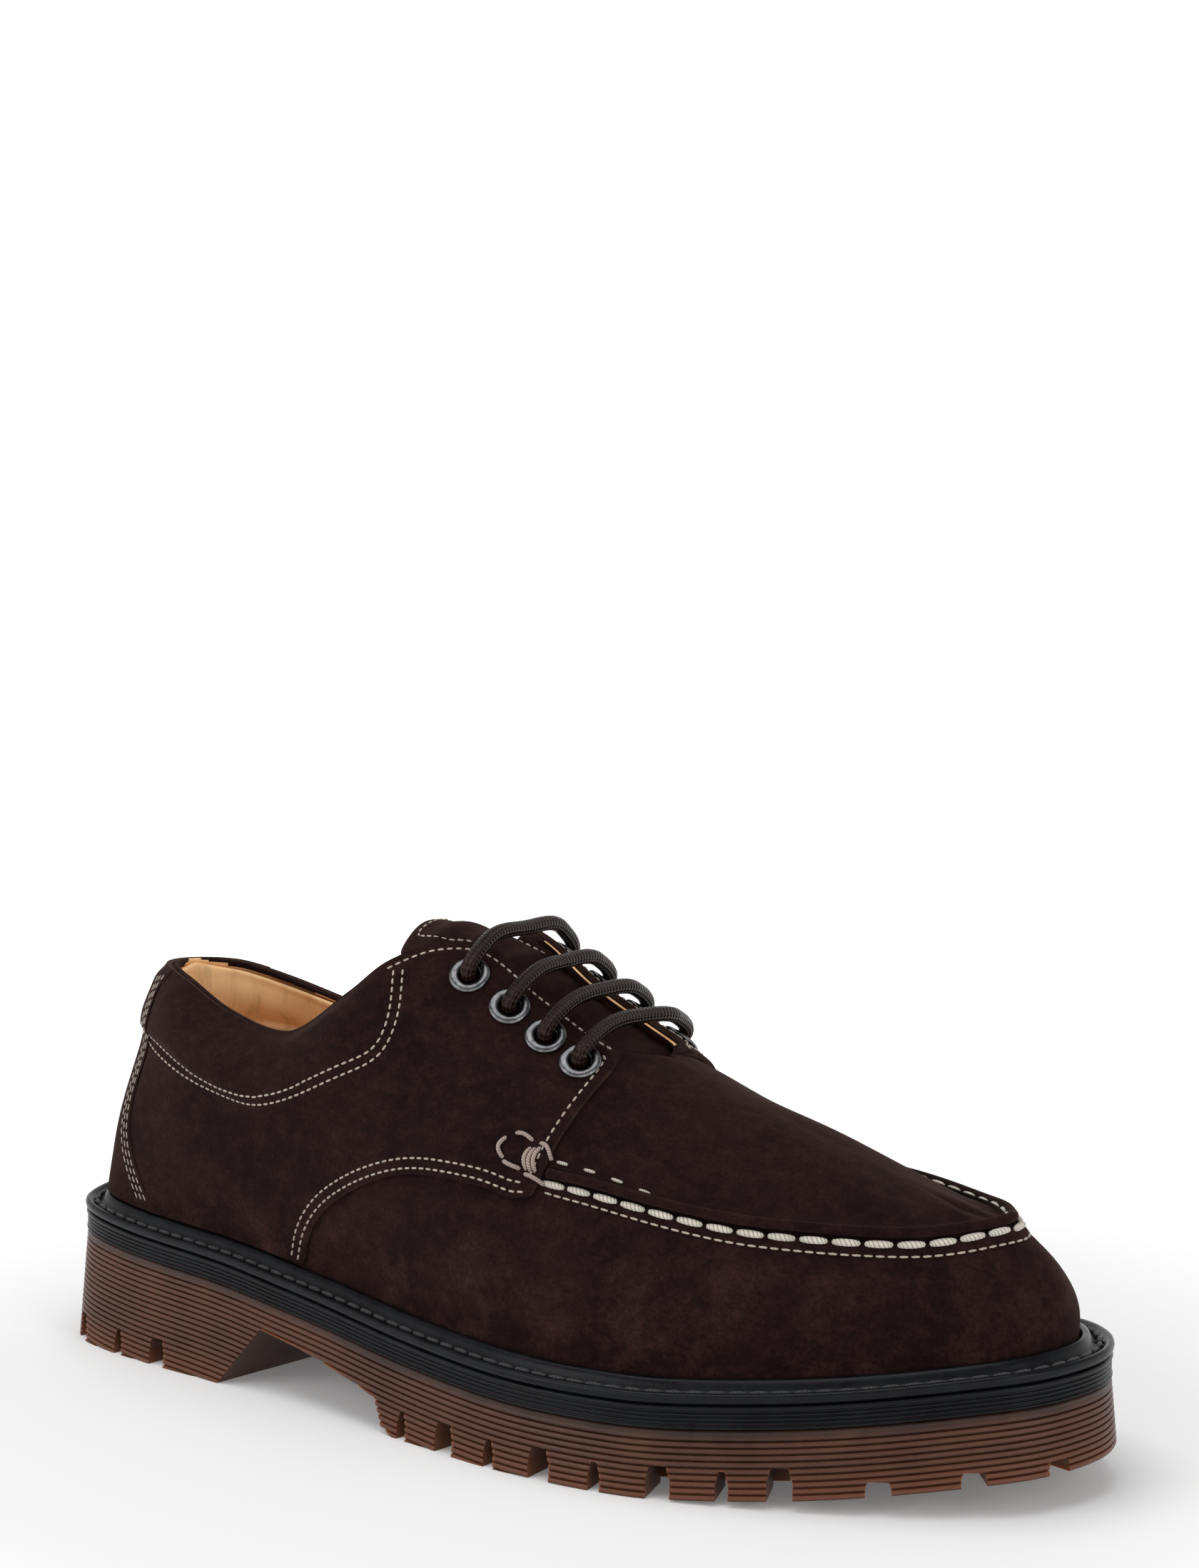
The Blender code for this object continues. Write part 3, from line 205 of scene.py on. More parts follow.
# A thread's dark tone is painted shade in the grooves between its strands, and also its darker random patches
PALE_THREAD = ((0.22, 0.18, 0.145), (0.50, 0.43, 0.35))
HEAVY_THREAD = ((0.20, 0.17, 0.14), (0.62, 0.57, 0.49))
CORNER_THREAD = ((0.13, 0.09, 0.078), (0.40, 0.30, 0.26))
WELT_THREAD = ((0.006, 0.006, 0.007), (0.028, 0.028, 0.030))

# The photograph's view
CAMERA_TURN = 34
CAMERA_DIP = 3
CAMERA_LENS = 55.06
CAMERA_PLACE = (0.375184, -0.530827, 0.201638)

# Shares of each side's outline where every layer has its points
STATIONS = [0.3 * k / 7 for k in range(8)]
STATIONS += [0.345, 0.385, 0.415, THROAT_TOP, 0.49, 0.53, 0.565, SLOT_END]
STATIONS += [0.645, 0.689, 0.733, 0.777, 0.821, 0.866, 0.91, 0.955, 1.0]

# The tongue above the throat: back from the throat's top, up, half width as a share of BALL_WIDTH, sag
TONGUE_TOP = (
    (0.0085, 0.0042, 0.155, 0.0062),
    (0.0175, 0.0066, 0.160, 0.0078),
    (0.0245, 0.0070, 0.140, 0.0078),
    (0.0290, 0.0062, 0.095, 0.0052),
    (0.0310, 0.0052, 0.050, 0.0020),
)

BAND = WELT_THICKNESS + MIDSOLE_THICKNESS
WELT_INNER = WELT_LEDGE + BEAD_WIDTH
FEATHER_INSET = WELT_INNER + GAP

# Section of the welt: depth below its flat top, distance outside the outline
WELT_SECTION = (
    (WELT_THICKNESS, 0.0),
    (0.0018, 0.0004),
    (0.0009, 0.0006),
    (0.0002, 0.0004),
    (-0.0002, -0.0001),
    (-0.0002, -0.0008),
    (0.0001, -0.0013),
    (0.0007, -0.0017),
    (0.0009, -0.0024),
    (0.0009, -0.0034),
    (0.0007, -0.0040),
    (0.0001, -0.0045),
    (-0.0008, -0.0050),
    (-0.0017, -0.0055),
    (-BEAD_HEIGHT, -0.0062),
    (-BEAD_HEIGHT, -0.0069),
    (-0.0016, -0.0074),
    (-0.0008, -WELT_INNER),
    (WELT_THICKNESS, -WELT_INNER),
)
CHANNEL_ROWS = (8, 9)
CHANNEL_ROUGHNESS = 0.00022

# Section of the dark band: depth below the welt, distance outside the outline. A rib's depths start anew
BAND_ROLL = (
    (0.0, -RIB_DEPTH),
    (0.00015, -0.0002),
    (0.0004, 0.0002),
    (0.0009, 0.0003),
    (0.0013, 0.0001),
    (0.0016, -RIB_DEPTH),
)
BAND_RIB = ((0.0, -0.0002), (0.0002, 0.0), (0.0005, 0.0), (0.0007, -0.0003), (0.00088, -RIB_DEPTH))
BAND_RIBS = 3
BAND_RIB_START = 0.0019
BAND_RIB_PITCH = 0.00105
BAND_FOOT = ((0.0051, 0.0), (0.0053, 0.0002))
BAND_FOOT_OUT = 0.0002

# Section of the gum sole: its top edge as above, and one rib in shares of RIB_PITCH and RIB_DEPTH
GUM_EDGE = ((0.0, -RIB_DEPTH), (0.0003, -0.0002), (0.0006, 0.0))
GUM_RIB = ((0.0, 0.35), (0.25, 0.0), (0.5, 0.0), (0.75, 0.35), (0.9, 1.0))

# Outline of the welt: share of LENGTH from the heel, share of BALL_WIDTH across
OUTLINE_LATERAL = (
    (0.0, 0.0),
    (0.007, -0.120),
    (0.030, -0.248),
    (0.095, -0.320),
    (0.220, -0.360),
    (0.355, -0.402),
    (0.475, -0.455),
    (0.585, -0.498),
    (0.675, -0.490),
    (0.775, -0.420),
    (0.870, -0.312),
    (0.935, -0.212),
    (0.974, -0.120),
    (0.993, -0.020),
    (1.0, 0.080),
)
OUTLINE_MEDIAL = (
    (0.988, 0.205),
    (0.948, 0.328),
    (0.875, 0.425),
    (0.790, 0.488),
    (0.700, 0.500),
    (0.600, 0.468),
    (0.490, 0.400),
    (0.380, 0.350),
    (0.250, 0.338),
    (0.105, 0.322),
    (0.034, 0.250),
    (0.008, 0.124),
)

# Height of the sole: share of LENGTH, share of TOE_SPRING below it, share of the heel's extra height
SOLE_PROFILE = (
    (0.0, 0.0, 1.42),
    (0.050, 0.0, 1.29),
    (0.117, 0.0, 1.12),
    (0.190, 0.0, 1.0),
    (0.250, 0.0, 0.88),
    (0.308, 0.0, 0.70),
    (0.379, 0.0, 0.49),
    (0.452, 0.0, 0.26),
    (0.519, 0.0, 0.12),
    (0.583, 0.0, 0.03),
    (0.656, 0.0, 0.0),
    (0.700, 0.0, 0.0),
    (0.746, 0.08, 0.0),
    (0.800, 0.22, 0.0),
    (0.858, 0.42, 0.0),
    (0.915, 0.68, 0.0),
    (0.963, 0.89, 0.0),
    (1.0, 1.0, 0.0),
)
# Where the tread starts to lift, as a share of LENGTH
SPRING_START = 0.700

# Underside of the waist: share of LENGTH, share of HEEL_HEIGHT
ARCH_PROFILE = (
    (0.234, 0.0),
    (0.286, 0.478),
    (0.337, 0.42),
    (0.388, 0.33),
    (0.436, 0.235),
    (0.446, 0.05),
    (0.460, 0.0),
)
# How far forward the heel's breast slants for each metre across the shoe
ARCH_SHEAR = 0.16

# Sections of the upper, heel to toe. at: share of the outline; seam and top: shares of LENGTH and
# BALL_WIDTH, then a height above the welt as a share of the named rise; turn: how late the side turns in;
# bulge: share of BALL_WIDTH; level: 1 where the crown ends level, 0 where it is straight; round: 1 for a
# quarter of an ellipse
UPPER_LATERAL = (
    (0.00, 0.062, 0.0, 0.72, 0.080, 0.0, 1.00, "collar", 1.05, 0.004, 0.10, 0.0),
    (0.065, 0.079, -0.149, 0.73, 0.097, -0.114, 1.015, "collar", 1.05, 0.004, 0.10, 0.0),
    (0.13, 0.136, -0.258, 0.73, 0.142, -0.197, 1.0, "collar", 1.7, 0.008, 0.10, 0.0),
    (0.20, 0.206, -0.316, 0.635, 0.212, -0.246, 0.915, "collar", 2.0, 0.014, 0.15, 0.0),
    (0.28, 0.289, -0.342, 0.595, 0.296, -0.274, 0.905, "collar", 2.2, 0.014, 0.20, 0.0),
    (0.345, 0.353, -0.346, 0.535, 0.363, -0.263, 0.852, "instep", 2.4, 0.014, 0.30, 0.1),
    (0.39, 0.396, -0.346, 0.600, 0.396, -0.235, 0.955, "instep", 2.4, 0.014, 0.50, 0.2),
    (0.42, 0.430, -0.349, 0.610, 0.430, -0.180, 1.020, "instep", 2.4, 0.014, 0.65, 0.3),
    (0.45, 0.464, -0.351, 0.595, 0.466, -0.110, 1.020, "instep", 2.4, 0.014, 0.75, 0.35),
    (0.50, 0.520, -0.360, 0.535, 0.525, -0.094, 0.905, "instep", 2.6, 0.014, 0.80, 0.35),
    (0.565, 0.590, -0.351, 0.465, 0.598, -0.090, 0.790, "instep", 2.8, 0.014, 0.85, 0.3),
    (0.60, 0.634, -0.346, 0.448, 0.631, 0.004, 0.760, "instep", 3.0, 0.014, 1.0, 0.25),
    (0.66, 0.698, -0.333, 0.418, 0.692, 0.013, 0.672, "instep", 3.2, 0.014, 1.0, 0.2),
    (0.73, 0.775, -0.289, 1.185, 0.762, 0.022, 1.860, "toe", 3.4, 0.014, 1.0, 0.1),
    (0.80, 0.842, -0.224, 1.095, 0.826, 0.026, 1.545, "toe", 3.2, 0.012, 1.0, 0.0),
    (0.87, 0.890, -0.140, 1.025, 0.870, 0.031, 1.310, "toe", 2.8, 0.008, 1.0, 0.0),
    (0.935, 0.919, -0.045, 1.005, 0.890, 0.035, 1.200, "toe", 2.4, 0.006, 1.0, 0.0),
    (1.00, 0.933, 0.044, 1.000, 0.900, 0.038, 1.155, "toe", 2.4, 0.006, 1.0, 0.0),
)
# The inner side's rows between the shared first and last, in the same columns
UPPER_MEDIAL_ROWS = (
    (0.065, 0.079, 0.149, 0.73, 0.097, 0.114, 0.985, "collar", 1.05, 0.004, 0.10, 0.0),
    (0.13, 0.136, 0.254, 0.71, 0.142, 0.197, 0.925, "collar", 1.7, 0.006, 0.10, 0.0),
    (0.20, 0.206, 0.300, 0.605, 0.212, 0.246, 0.840, "collar", 2.0, 0.008, 0.15, 0.0),
    (0.28, 0.289, 0.312, 0.560, 0.296, 0.272, 0.825, "collar", 2.2, 0.006, 0.20, 0.0),
    (0.345, 0.353, 0.316, 0.510, 0.363, 0.261, 0.785, "instep", 2.4, 0.006, 0.30, 0.1),
    (0.39, 0.398, 0.320, 0.590, 0.401, 0.219, 0.930, "instep", 2.4, 0.007, 0.50, 0.2),
    (0.42, 0.433, 0.326, 0.605, 0.436, 0.160, 1.020, "instep", 2.4, 0.009, 0.65, 0.3),
    (0.45, 0.468, 0.333, 0.590, 0.473, 0.090, 1.030, "instep", 2.4, 0.010, 0.75, 0.35),
    (0.50, 0.525, 0.350, 0.535, 0.532, 0.076, 0.920, "instep", 2.6, 0.013, 0.80, 0.35),
    (0.565, 0.597, 0.366, 0.462, 0.612, 0.080, 0.790, "instep", 2.8, 0.014, 0.85, 0.3),
    (0.60, 0.634, 0.370, 0.446, 0.631, 0.004, 0.760, "instep", 3.0, 0.014, 1.0, 0.25),
    (0.66, 0.698, 0.364, 0.418, 0.692, 0.013, 0.672, "instep", 3.2, 0.014, 1.0, 0.2),
    (0.73, 0.775, 0.330, 1.190, 0.762, 0.022, 1.860, "toe", 3.4, 0.014, 1.0, 0.1),
    (0.80, 0.842, 0.270, 1.100, 0.826, 0.026, 1.545, "toe", 3.2, 0.012, 1.0, 0.0),
    (0.87, 0.890, 0.195, 1.030, 0.870, 0.031, 1.310, "toe", 2.8, 0.008, 1.0, 0.0),
    (0.935, 0.919, 0.120, 1.005, 0.890, 0.035, 1.200, "toe", 2.4, 0.006, 1.0, 0.0),
)
UPPER_MEDIAL = UPPER_LATERAL[:1] + UPPER_MEDIAL_ROWS + UPPER_LATERAL[-1:]

# Side views of the overlays: share of LENGTH, height above the welt as a share of INSTEP_RISE
WING_EDGE = (
    (0.325, 0.035),
    (0.332, 0.105),
    (0.3445, 0.178),
    (0.360, 0.235),
    (0.3786, 0.284),
    (0.420, 0.368),
    (0.457, 0.417),
    (0.503, 0.438),
    (0.545, 0.434),
    (0.573, 0.426),
    (0.5815, 0.434),
)
FACING_EDGE = (
    (0.585, 0.470),
    (0.589, 0.545),
    (0.5960, 0.632),
    (0.6025, 0.700),
    (0.6055, 0.742),
    (0.6040, 0.772),
    (0.5980, 0.790),
    (0.5890, 0.800),
    (0.5800, 0.830),
    (0.5750, 0.950),
)
BACKSTAY_EDGE = (
    (0.138, 0.0),
    (0.123, 0.06),
    (0.108, 0.14),
    (0.095, 0.26),
    (0.098, 0.39),
    (0.109, 0.52),
    (0.115, 0.64),
    (0.122, 0.80),
    (0.126, 0.95),
)
RISES = {"collar": COLLAR_RISE, "instep": INSTEP_RISE, "toe": TOE_RISE}

# Notches between the rim lugs: share of LENGTH, kind
LUG_NOTCHES = (
    (0.004, "narrow"),
    (0.043, "wide"),
    (0.105, "narrow"),
    (0.160, "wide"),
    (0.474, "narrow"),
    (0.524, "wide"),
    (0.5735, "narrow"),
    (0.623, "wide"),
    (0.6725, "narrow"),
    (0.7236, "wide"),
    (0.7716, "narrow"),
    (0.813, "wide"),
    (0.880, "toe"),
    (0.941, "toe"),
    (0.986, "toe"),
)
# Their shapes: width at the tread, width at the top, height as a share of LUG_HEIGHT
NOTCH_KINDS = {
    "wide": (0.0062, 0.0044, 1.0),
    "narrow": (0.0032, 0.0014, 0.92),
    "toe": (0.0062, 0.005, 0.45),
}

# Cross grooves of the tread field: share of LENGTH, lean forward on the inner side in shares of LENGTH
CROSS_GROOVES = (
    (0.085, 0.0),
    (0.155, 0.02),
    (0.535, 0.03),
    (0.605, 0.03),
    (0.675, 0.03),
    (0.745, 0.02),
    (0.815, 0.0),
    (0.88, 0.0),
)
# Closed channels behind the rim lugs: name, start and end in shares of LENGTH, points on each side
CHANNELS = (
    ("heel_channel", 0.045, 0.215, 9),
    ("fore_channel", 0.50, 0.955, 17),
)


def natural_spline(knots, values):
    """A natural cubic spline through the values, one column or several, as a function."""
    knots = np.asarray(knots, float)
    values = np.asarray(values, float)
    steps = np.diff(knots)
    count = len(knots)
    system = np.eye(count)
    right = np.zeros(values.shape)
    for i in range(1, count - 1):
        system[i, i - 1 : i + 2] = steps[i - 1], 2 * (steps[i - 1] + steps[i]), steps[i]
        right[i] = 6 * ((values[i + 1] - values[i]) / steps[i] - (values[i] - values[i - 1]) / steps[i - 1])
    bends = np.linalg.solve(system, right)

    def at(where):
        where = np.asarray(where, float)
        i = np.clip(np.searchsorted(knots, where, side="right") - 1, 0, count - 2)
        step = steps[i]
        a = (knots[i + 1] - where) / step
        if values.ndim > 1 and where.ndim:
            a = a[:, None]
            step = step[:, None]
        b = 1 - a
        cubic = ((a**3 - a) * bends[i] + (b**3 - b) * bends[i + 1]) * step**2 / 6
        return a * values[i] + b * values[i + 1] + cubic

    return at


def lengths_along(points):
    """Distance along a polyline at each of its points."""
    steps = np.linalg.norm(np.diff(points, axis=0), axis=1)
    return np.concatenate([[0.0], np.cumsum(steps)])


def outline_of_sole():
    """The welt's outline as a function of the share of each side, from heel (0) to toe (1)."""
    loop = np.array(OUTLINE_LATERAL + OUTLINE_MEDIAL)
    loop = np.column_stack([(loop[:, 0] - 0.5) * LENGTH, loop[:, 1] * BALL_WIDTH])
    wrap = 4
    points = np.vstack([loop[-wrap:], loop, loop[: wrap + 1]])
    knots = lengths_along(points)
    curve = natural_spline(knots, points)
    heel, toe, back = knots[wrap], knots[wrap + len(OUTLINE_LATERAL) - 1], knots[wrap + len(loop)]
    sides = {}
    for side, start, end in (("lateral", heel, toe), ("medial", back, toe)):
        fine = curve(np.linspace(start, end, 961))
        sides[side] = (lengths_along(fine), fine)
    return sides


OUTLINE = outline_of_sole()


def outline_point(side, share, inset=0.0):
    """A point of the outline, moved inwards square to it."""
    lengths, points = OUTLINE[side]
    here = share * lengths[-1]
    step = 0.004 * lengths[-1]
    place = np.array([np.interp(here, lengths, points[:, k]) for k in (0, 1)])
    if share < 0.002 or share > 0.998:
        return place + np.array([inset if share < 0.5 else -inset, 0.0])
    ends = []
    for d in (-step, step):
        ends.append([np.interp(np.clip(here + d, 0, lengths[-1]), lengths, points[:, k]) for k in (0, 1)])
    along = np.subtract(ends[1], ends[0])
    along /= np.linalg.norm(along)
    inwards = np.array([-along[1], along[0]]) if side == "lateral" else np.array([along[1], -along[0]])
    return place + inwards * inset


def station_of(x):
    """Share of LENGTH at an x."""
    return x / LENGTH + 0.5


PROFILE = natural_spline([row[0] for row in SOLE_PROFILE], [row[1:] for row in SOLE_PROFILE])


def spring_at(x):
    """Height of the tread's own plane, which lifts towards the toe."""
    share = np.clip(station_of(np.atleast_1d(x)), 0.0, 1.02)
    lift = np.where(share > SPRING_START, np.maximum(PROFILE(share)[:, 0], 0.0) * TOE_SPRING, 0.0)
    return lift if np.ndim(x) else float(lift[0])


def welt_top(x):
    """Height of the welt's flat top."""
    share = np.clip(station_of(np.atleast_1d(x)), 0.0, 1.0)
    top = spring_at(np.atleast_1d(x)) + SOLE_HEIGHT + PROFILE(share)[:, 1] * (HEEL_HEIGHT - SOLE_HEIGHT)
    return top if np.ndim(x) else float(top[0])


def steady_curve(knots, values):
    """A smooth curve through a table's rows that does not swing past them, as a function."""
    knots = np.asarray(knots, float)
    values = np.asarray(values, float)
    slopes = np.diff(values, axis=0) / np.diff(knots)[:, None]
    before = [3 * slopes[0] - 2 * slopes[1], 2 * slopes[0] - slopes[1]]
    after = [2 * slopes[-1] - slopes[-2], 3 * slopes[-1] - 2 * slopes[-2]]
    slopes = np.vstack([before, slopes, after])
    turns = np.abs(np.diff(slopes, axis=0)) + np.abs(slopes[1:] + slopes[:-1]) / 2 + 1e-9
    count = len(knots)
    ahead, behind = turns[2 : count + 2], turns[:count]
    tangents = (ahead * slopes[1 : count + 1] + behind * slopes[2 : count + 2]) / (ahead + behind)

    def at(where):
        i = int(np.clip(np.searchsorted(knots, where, side="right") - 1, 0, count - 2))
        step = knots[i + 1] - knots[i]
        t = (where - knots[i]) / step
        start = (1 + 2 * t) * (1 - t) ** 2 * values[i] + t * (1 - t) ** 2 * step * tangents[i]
        end = t * t * (3 - 2 * t) * values[i + 1] + t * t * (t - 1) * step * tangents[i + 1]
        return start + end

    return at


def section_curve(side):
    """Seam, top and shape columns of one side at any share of the outline, carried on past heel and toe."""
    own, other = (UPPER_LATERAL, UPPER_MEDIAL) if side == "lateral" else (UPPER_MEDIAL, UPPER_LATERAL)
    rows = [(-row[0],) + row[1:] for row in reversed(other[1:5])] + list(own)
    rows += [(2 - row[0],) + row[1:] for row in reversed(other[-5:-1])]
    metric = []
    for row in rows:
        seam_x, seam_y, seam_z, top_x, top_y, top_z, rise, *shape = row[1:]
        seam_x = (seam_x - 0.5) * LENGTH
        top_x = (top_x - 0.5) * LENGTH
        seam_z = welt_top(seam_x) + seam_z * RISES[rise]
        top_z = welt_top(top_x) + top_z * RISES[rise]
        metric.append([seam_x, seam_y * BALL_WIDTH, seam_z, top_x, top_y * BALL_WIDTH, top_z] + shape)
    return steady_curve([row[0] for row in rows], metric)


SECTIONS = {side: section_curve(side) for side in ("lateral", "medial")}


def section(side, at):
    """Feather point, outward direction, seam point, top point and shape values of one section."""
    values = SECTIONS[side](at).copy()
    if at >= SLOT_END - 1e-9:
        other = SECTIONS["medial" if side == "lateral" else "lateral"](at)
        values[3:6] = (values[3:6] + other[3:6]) / 2
    foot = outline_point(side, at, FEATHER_INSET)
    edge = outline_point(side, at)
    out = (edge - foot) / np.linalg.norm(edge - foot)
    feather = np.array([foot[0], foot[1], welt_top(foot[0]) - WELT_THICKNESS + GAP])
    return feather, np.array([out[0], out[1], 0.0]), values[:3], values[3:6], values[6:]


def section_line(side, at, rows):
    """Points of the bare upper at one share. rows: 0 to 1 from the feather to the seam, 1 to 2 to the top."""
    feather, out, seam, top, (turn, bulge, level, rounded) = section(side, at)
    v = np.minimum(rows, 1.0)
    across = (np.maximum(v - BEAD_SHARE, 0.0) / (1 - BEAD_SHARE)) ** turn
    low = feather + (seam - feather) * np.column_stack([across, across, v])
    rise = np.clip((v - BULGE_START) / (1 - BULGE_START) * 1.12, 0.0, 1.0)
    low += np.outer(np.sin(math.pi * rise) * bulge * BALL_WIDTH, out)
    t = np.clip(rows - 1, 0.0, 1.0)
    angle = max(level, 0.02) * math.pi / 2
    up = np.sin(angle * t) / math.sin(angle)
    across = (1 - rounded) * t + rounded * (1 - np.cos(math.pi * t / 2))
    high = seam + (top - seam) * np.column_stack([across, across, up])
    return np.where(rows[:, None] <= 1, low, high)


# The upper as a fine net: way round runs 0 to 1 heel to toe on the outer side, 1 to 2 back on the inner side
NET_COLUMNS = 480
NET_ROWS = np.concatenate([np.linspace(0, 1, 81), np.linspace(1, 2, 101)[1:]])
SEAM_ROW = 80


def place_of(way):
    """Side and share of the outline at a way round."""
    way = way % 2
    return ("lateral", way) if way <= 1 else ("medial", 2 - way)


def unit(vectors):
    """Vectors brought to length 1."""
    return vectors / np.maximum(np.linalg.norm(vectors, axis=-1, keepdims=True), 1e-12)


def upper_net():
    """Points, outward normals and the lengths below and above the seam over the whole bare upper."""
    points = np.array([section_line(*place_of(2 * c / NET_COLUMNS), NET_ROWS) for c in range(NET_COLUMNS)])
    along = np.roll(points, -1, axis=0) - np.roll(points, 1, axis=0)
    up = np.gradient(points, axis=1)
    normals = unit(np.cross(along, up))
    mirror = (-np.arange(NET_COLUMNS)) % NET_COLUMNS
    share = np.abs((np.arange(NET_COLUMNS) * 2 / NET_COLUMNS + 1) % 2 - 1)
    spine = share >= SLOT_END - 1e-9
    both = normals[:, -1] + normals[mirror, -1]
    normals[spine, -1] = unit(both[spine])
    steps = np.linalg.norm(np.diff(points, axis=1), axis=2)
    return points, normals, steps[:, :SEAM_ROW].sum(axis=1), steps[:, SEAM_ROW:].sum(axis=1)


NET, NET_NORMALS, NET_BELOW, NET_ABOVE = upper_net()


def off_net(grid, way, v):
    """A value of the net at any place on it."""
    column = (np.asarray(way, float) % 2) / 2 * NET_COLUMNS
    c = np.floor(column).astype(int)
    s = column - c
    c0, c1 = c % NET_COLUMNS, (c + 1) % NET_COLUMNS
    if grid.ndim == 1:
        return grid[c0] * (1 - s) + grid[c1] * s
    row = np.interp(v, NET_ROWS, np.arange(len(NET_ROWS)))
    r = np.minimum(row.astype(int), len(NET_ROWS) - 2)
    t = (row - r)[..., None]
    s = s[..., None]
    near = grid[c0, r] * (1 - t) + grid[c0, r + 1] * t
    far = grid[c1, r] * (1 - t) + grid[c1, r + 1] * t
    return near * (1 - s) + far * s


def fade(value, start, end):
    """0 before start, 1 after end and smooth between."""
    t = np.clip((value - start) / (end - start), 0.0, 1.0)
    return t * t * (3 - 2 * t)


def hump(distance, width):
    """A soft hump of height 1."""
    return np.exp(-((distance / width) ** 2))


def leather(way, v, out=0.0, seam=1.0):
    """Points of the upper's outer face moved out from it, and the normals. seam: share of the moc relief."""
    way, v = np.broadcast_arrays(np.asarray(way, float), np.asarray(v, float))
    share = np.abs((way + 1) % 2 - 1)
    bare = off_net(NET, way, v)
    normal = unit(off_net(NET_NORMALS, way, v))
    away = np.where(v < 1, (v - 1) * off_net(NET_BELOW, way, v), (v - 1) * off_net(NET_ABOVE, way, v))
    collar = 1 - fade(share, COLLAR_END - 0.03, COLLAR_END + 0.05)
    collar = collar * (0.4 + 0.6 * fade(share, 0.03, 0.16))
    crown = np.clip(v - 1, 0.0, 1.0)
    puff = COLLAR_STEP * fade(v, 0.99, 1.10) * (1 - fade(v, 1.75, 2.0))
    puff = puff + COLLAR_PUFF * np.sin(math.pi * crown**0.8)
    relief = MOC_LIFT * hump(away, MOC_RIDGE_WIDTH)
    for height, above, width in MOC_RELIEF:
        relief = relief + seam * height * hump(away - above, width)
    moc = fade(share, MOC_START, MOC_FULL)
    creases = CREASE_HEIGHT * np.sin(11 * share * math.pi + 3 * v) * np.sin(2.3 * v * math.pi + 5 * share)
    creases += FINE_CREASE_HEIGHT * np.sin(31 * share + 9 * v + 1.3) * fade(share, 0.1, 0.3)
    creases *= fade(v, 0.1, 0.35) * (1 - fade(v, 1.8, 1.98) * (share < SLOT_END))
    return bare + normal * (collar * puff + moc * relief + creases + out)[..., None], normal


def span_above(way):
    """Length of the crown from the seam to the top."""
    return off_net(NET_ABOVE, way, 0)


# Meshes
def grid_faces(columns, rows, wrap=False):
    """Quads over a net of columns and rows."""
    c, r = np.meshgrid(np.arange(columns if wrap else columns - 1), np.arange(rows - 1), indexing="ij")
    n = (c + 1) % columns
    quads = np.stack([c * rows + r, n * rows + r, n * rows + r + 1, c * rows + r + 1], axis=-1)
    return quads.reshape(-1, 4)


def new_piece(name, points, faces, material, merge=1e-6, smooth=True, outwards=True):
    """A mesh object at the origin with its faces turned outwards."""
    mesh = bpy.data.meshes.new(name)
    mesh.from_pydata(np.asarray(points).tolist(), [], [list(map(int, f)) for f in faces])
    work = bmesh.new()
    work.from_mesh(mesh)
    bmesh.ops.remove_doubles(work, verts=work.verts, dist=merge)
    if outwards:
        bmesh.ops.recalc_face_normals(work, faces=work.faces)
        if work.calc_volume(signed=True) < 0:
            bmesh.ops.reverse_faces(work, faces=work.faces)
    work.to_mesh(mesh)
    work.free()
    mesh.polygons.foreach_set("use_smooth", [smooth] * len(mesh.polygons))
    if material:
        mesh.materials.append(material)
    piece = bpy.data.objects.new(name, mesh)
    bpy.context.scene.collection.objects.link(piece)
    return piece


def finished(piece, *nodes, slot=None):
    """Attaches a piece to the root body and hides the model's parts that it stands for; slot, the finish it
    takes, is not used.
    """
    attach(piece, "root")
    if nodes:
        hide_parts(*nodes)
    return piece


def settled(piece, angle=0.6):
    """Turns a piece's live modifiers into its plain mesh, with crisp edges kept crisp."""
    bpy.context.view_layer.update()
    graph = bpy.context.evaluated_depsgraph_get()
    mesh = bpy.data.meshes.new_from_object(piece.evaluated_get(graph))
    piece.modifiers.clear()
    piece.data = mesh
    mesh.set_sharp_from_angle(angle=angle)
    return piece


def cut(piece, cutters, operation="DIFFERENCE"):
    """Cuts a piece with each cutter in turn, or keeps what is inside it, and removes the cutters."""
    for cutter in cutters:
        boolean = piece.modifiers.new(cutter.name, "BOOLEAN")
        boolean.object = cutter
        boolean.operation = operation
        boolean.solver = "EXACT"
    settled(piece)
    for cutter in cutters:
        bpy.data.objects.remove(cutter, do_unlink=True)
    return piece


def prism(name, outline, low, high, shear=0.0):
    """A side-view outline of (x, z) points in metres, drawn out across the shoe."""
    count = len(outline)
    points = [(x + shear * (y + BALL_WIDTH / 2), y, z) for y in (low, high) for x, z in outline]
    faces = [list(range(count)), list(range(2 * count - 1, count - 1, -1))]
    faces += [(k, k + count, (k + 1) % count + count, (k + 1) % count) for k in range(count)]
    return new_piece(name, points, faces, None, smooth=False)


def seam_rows(way, fine=30):
    """The v rows of one column, close together at the moc seam."""
    below, above = float(off_net(NET_BELOW, way, 0)), float(off_net(NET_ABOVE, way, 0))
    near = min(0.0075, 0.45 * above, 0.45 * below)
    low = np.linspace(0, 1 - near / below, 27)[:-1]
    steps = np.linspace(-1, 1, 2 * fine + 1)
    middle = 1 + near * steps / np.where(steps < 0, below, above)
    high = np.linspace(1 + near / above, 2, 41)[1:]
    return np.concatenate([low, middle, high])


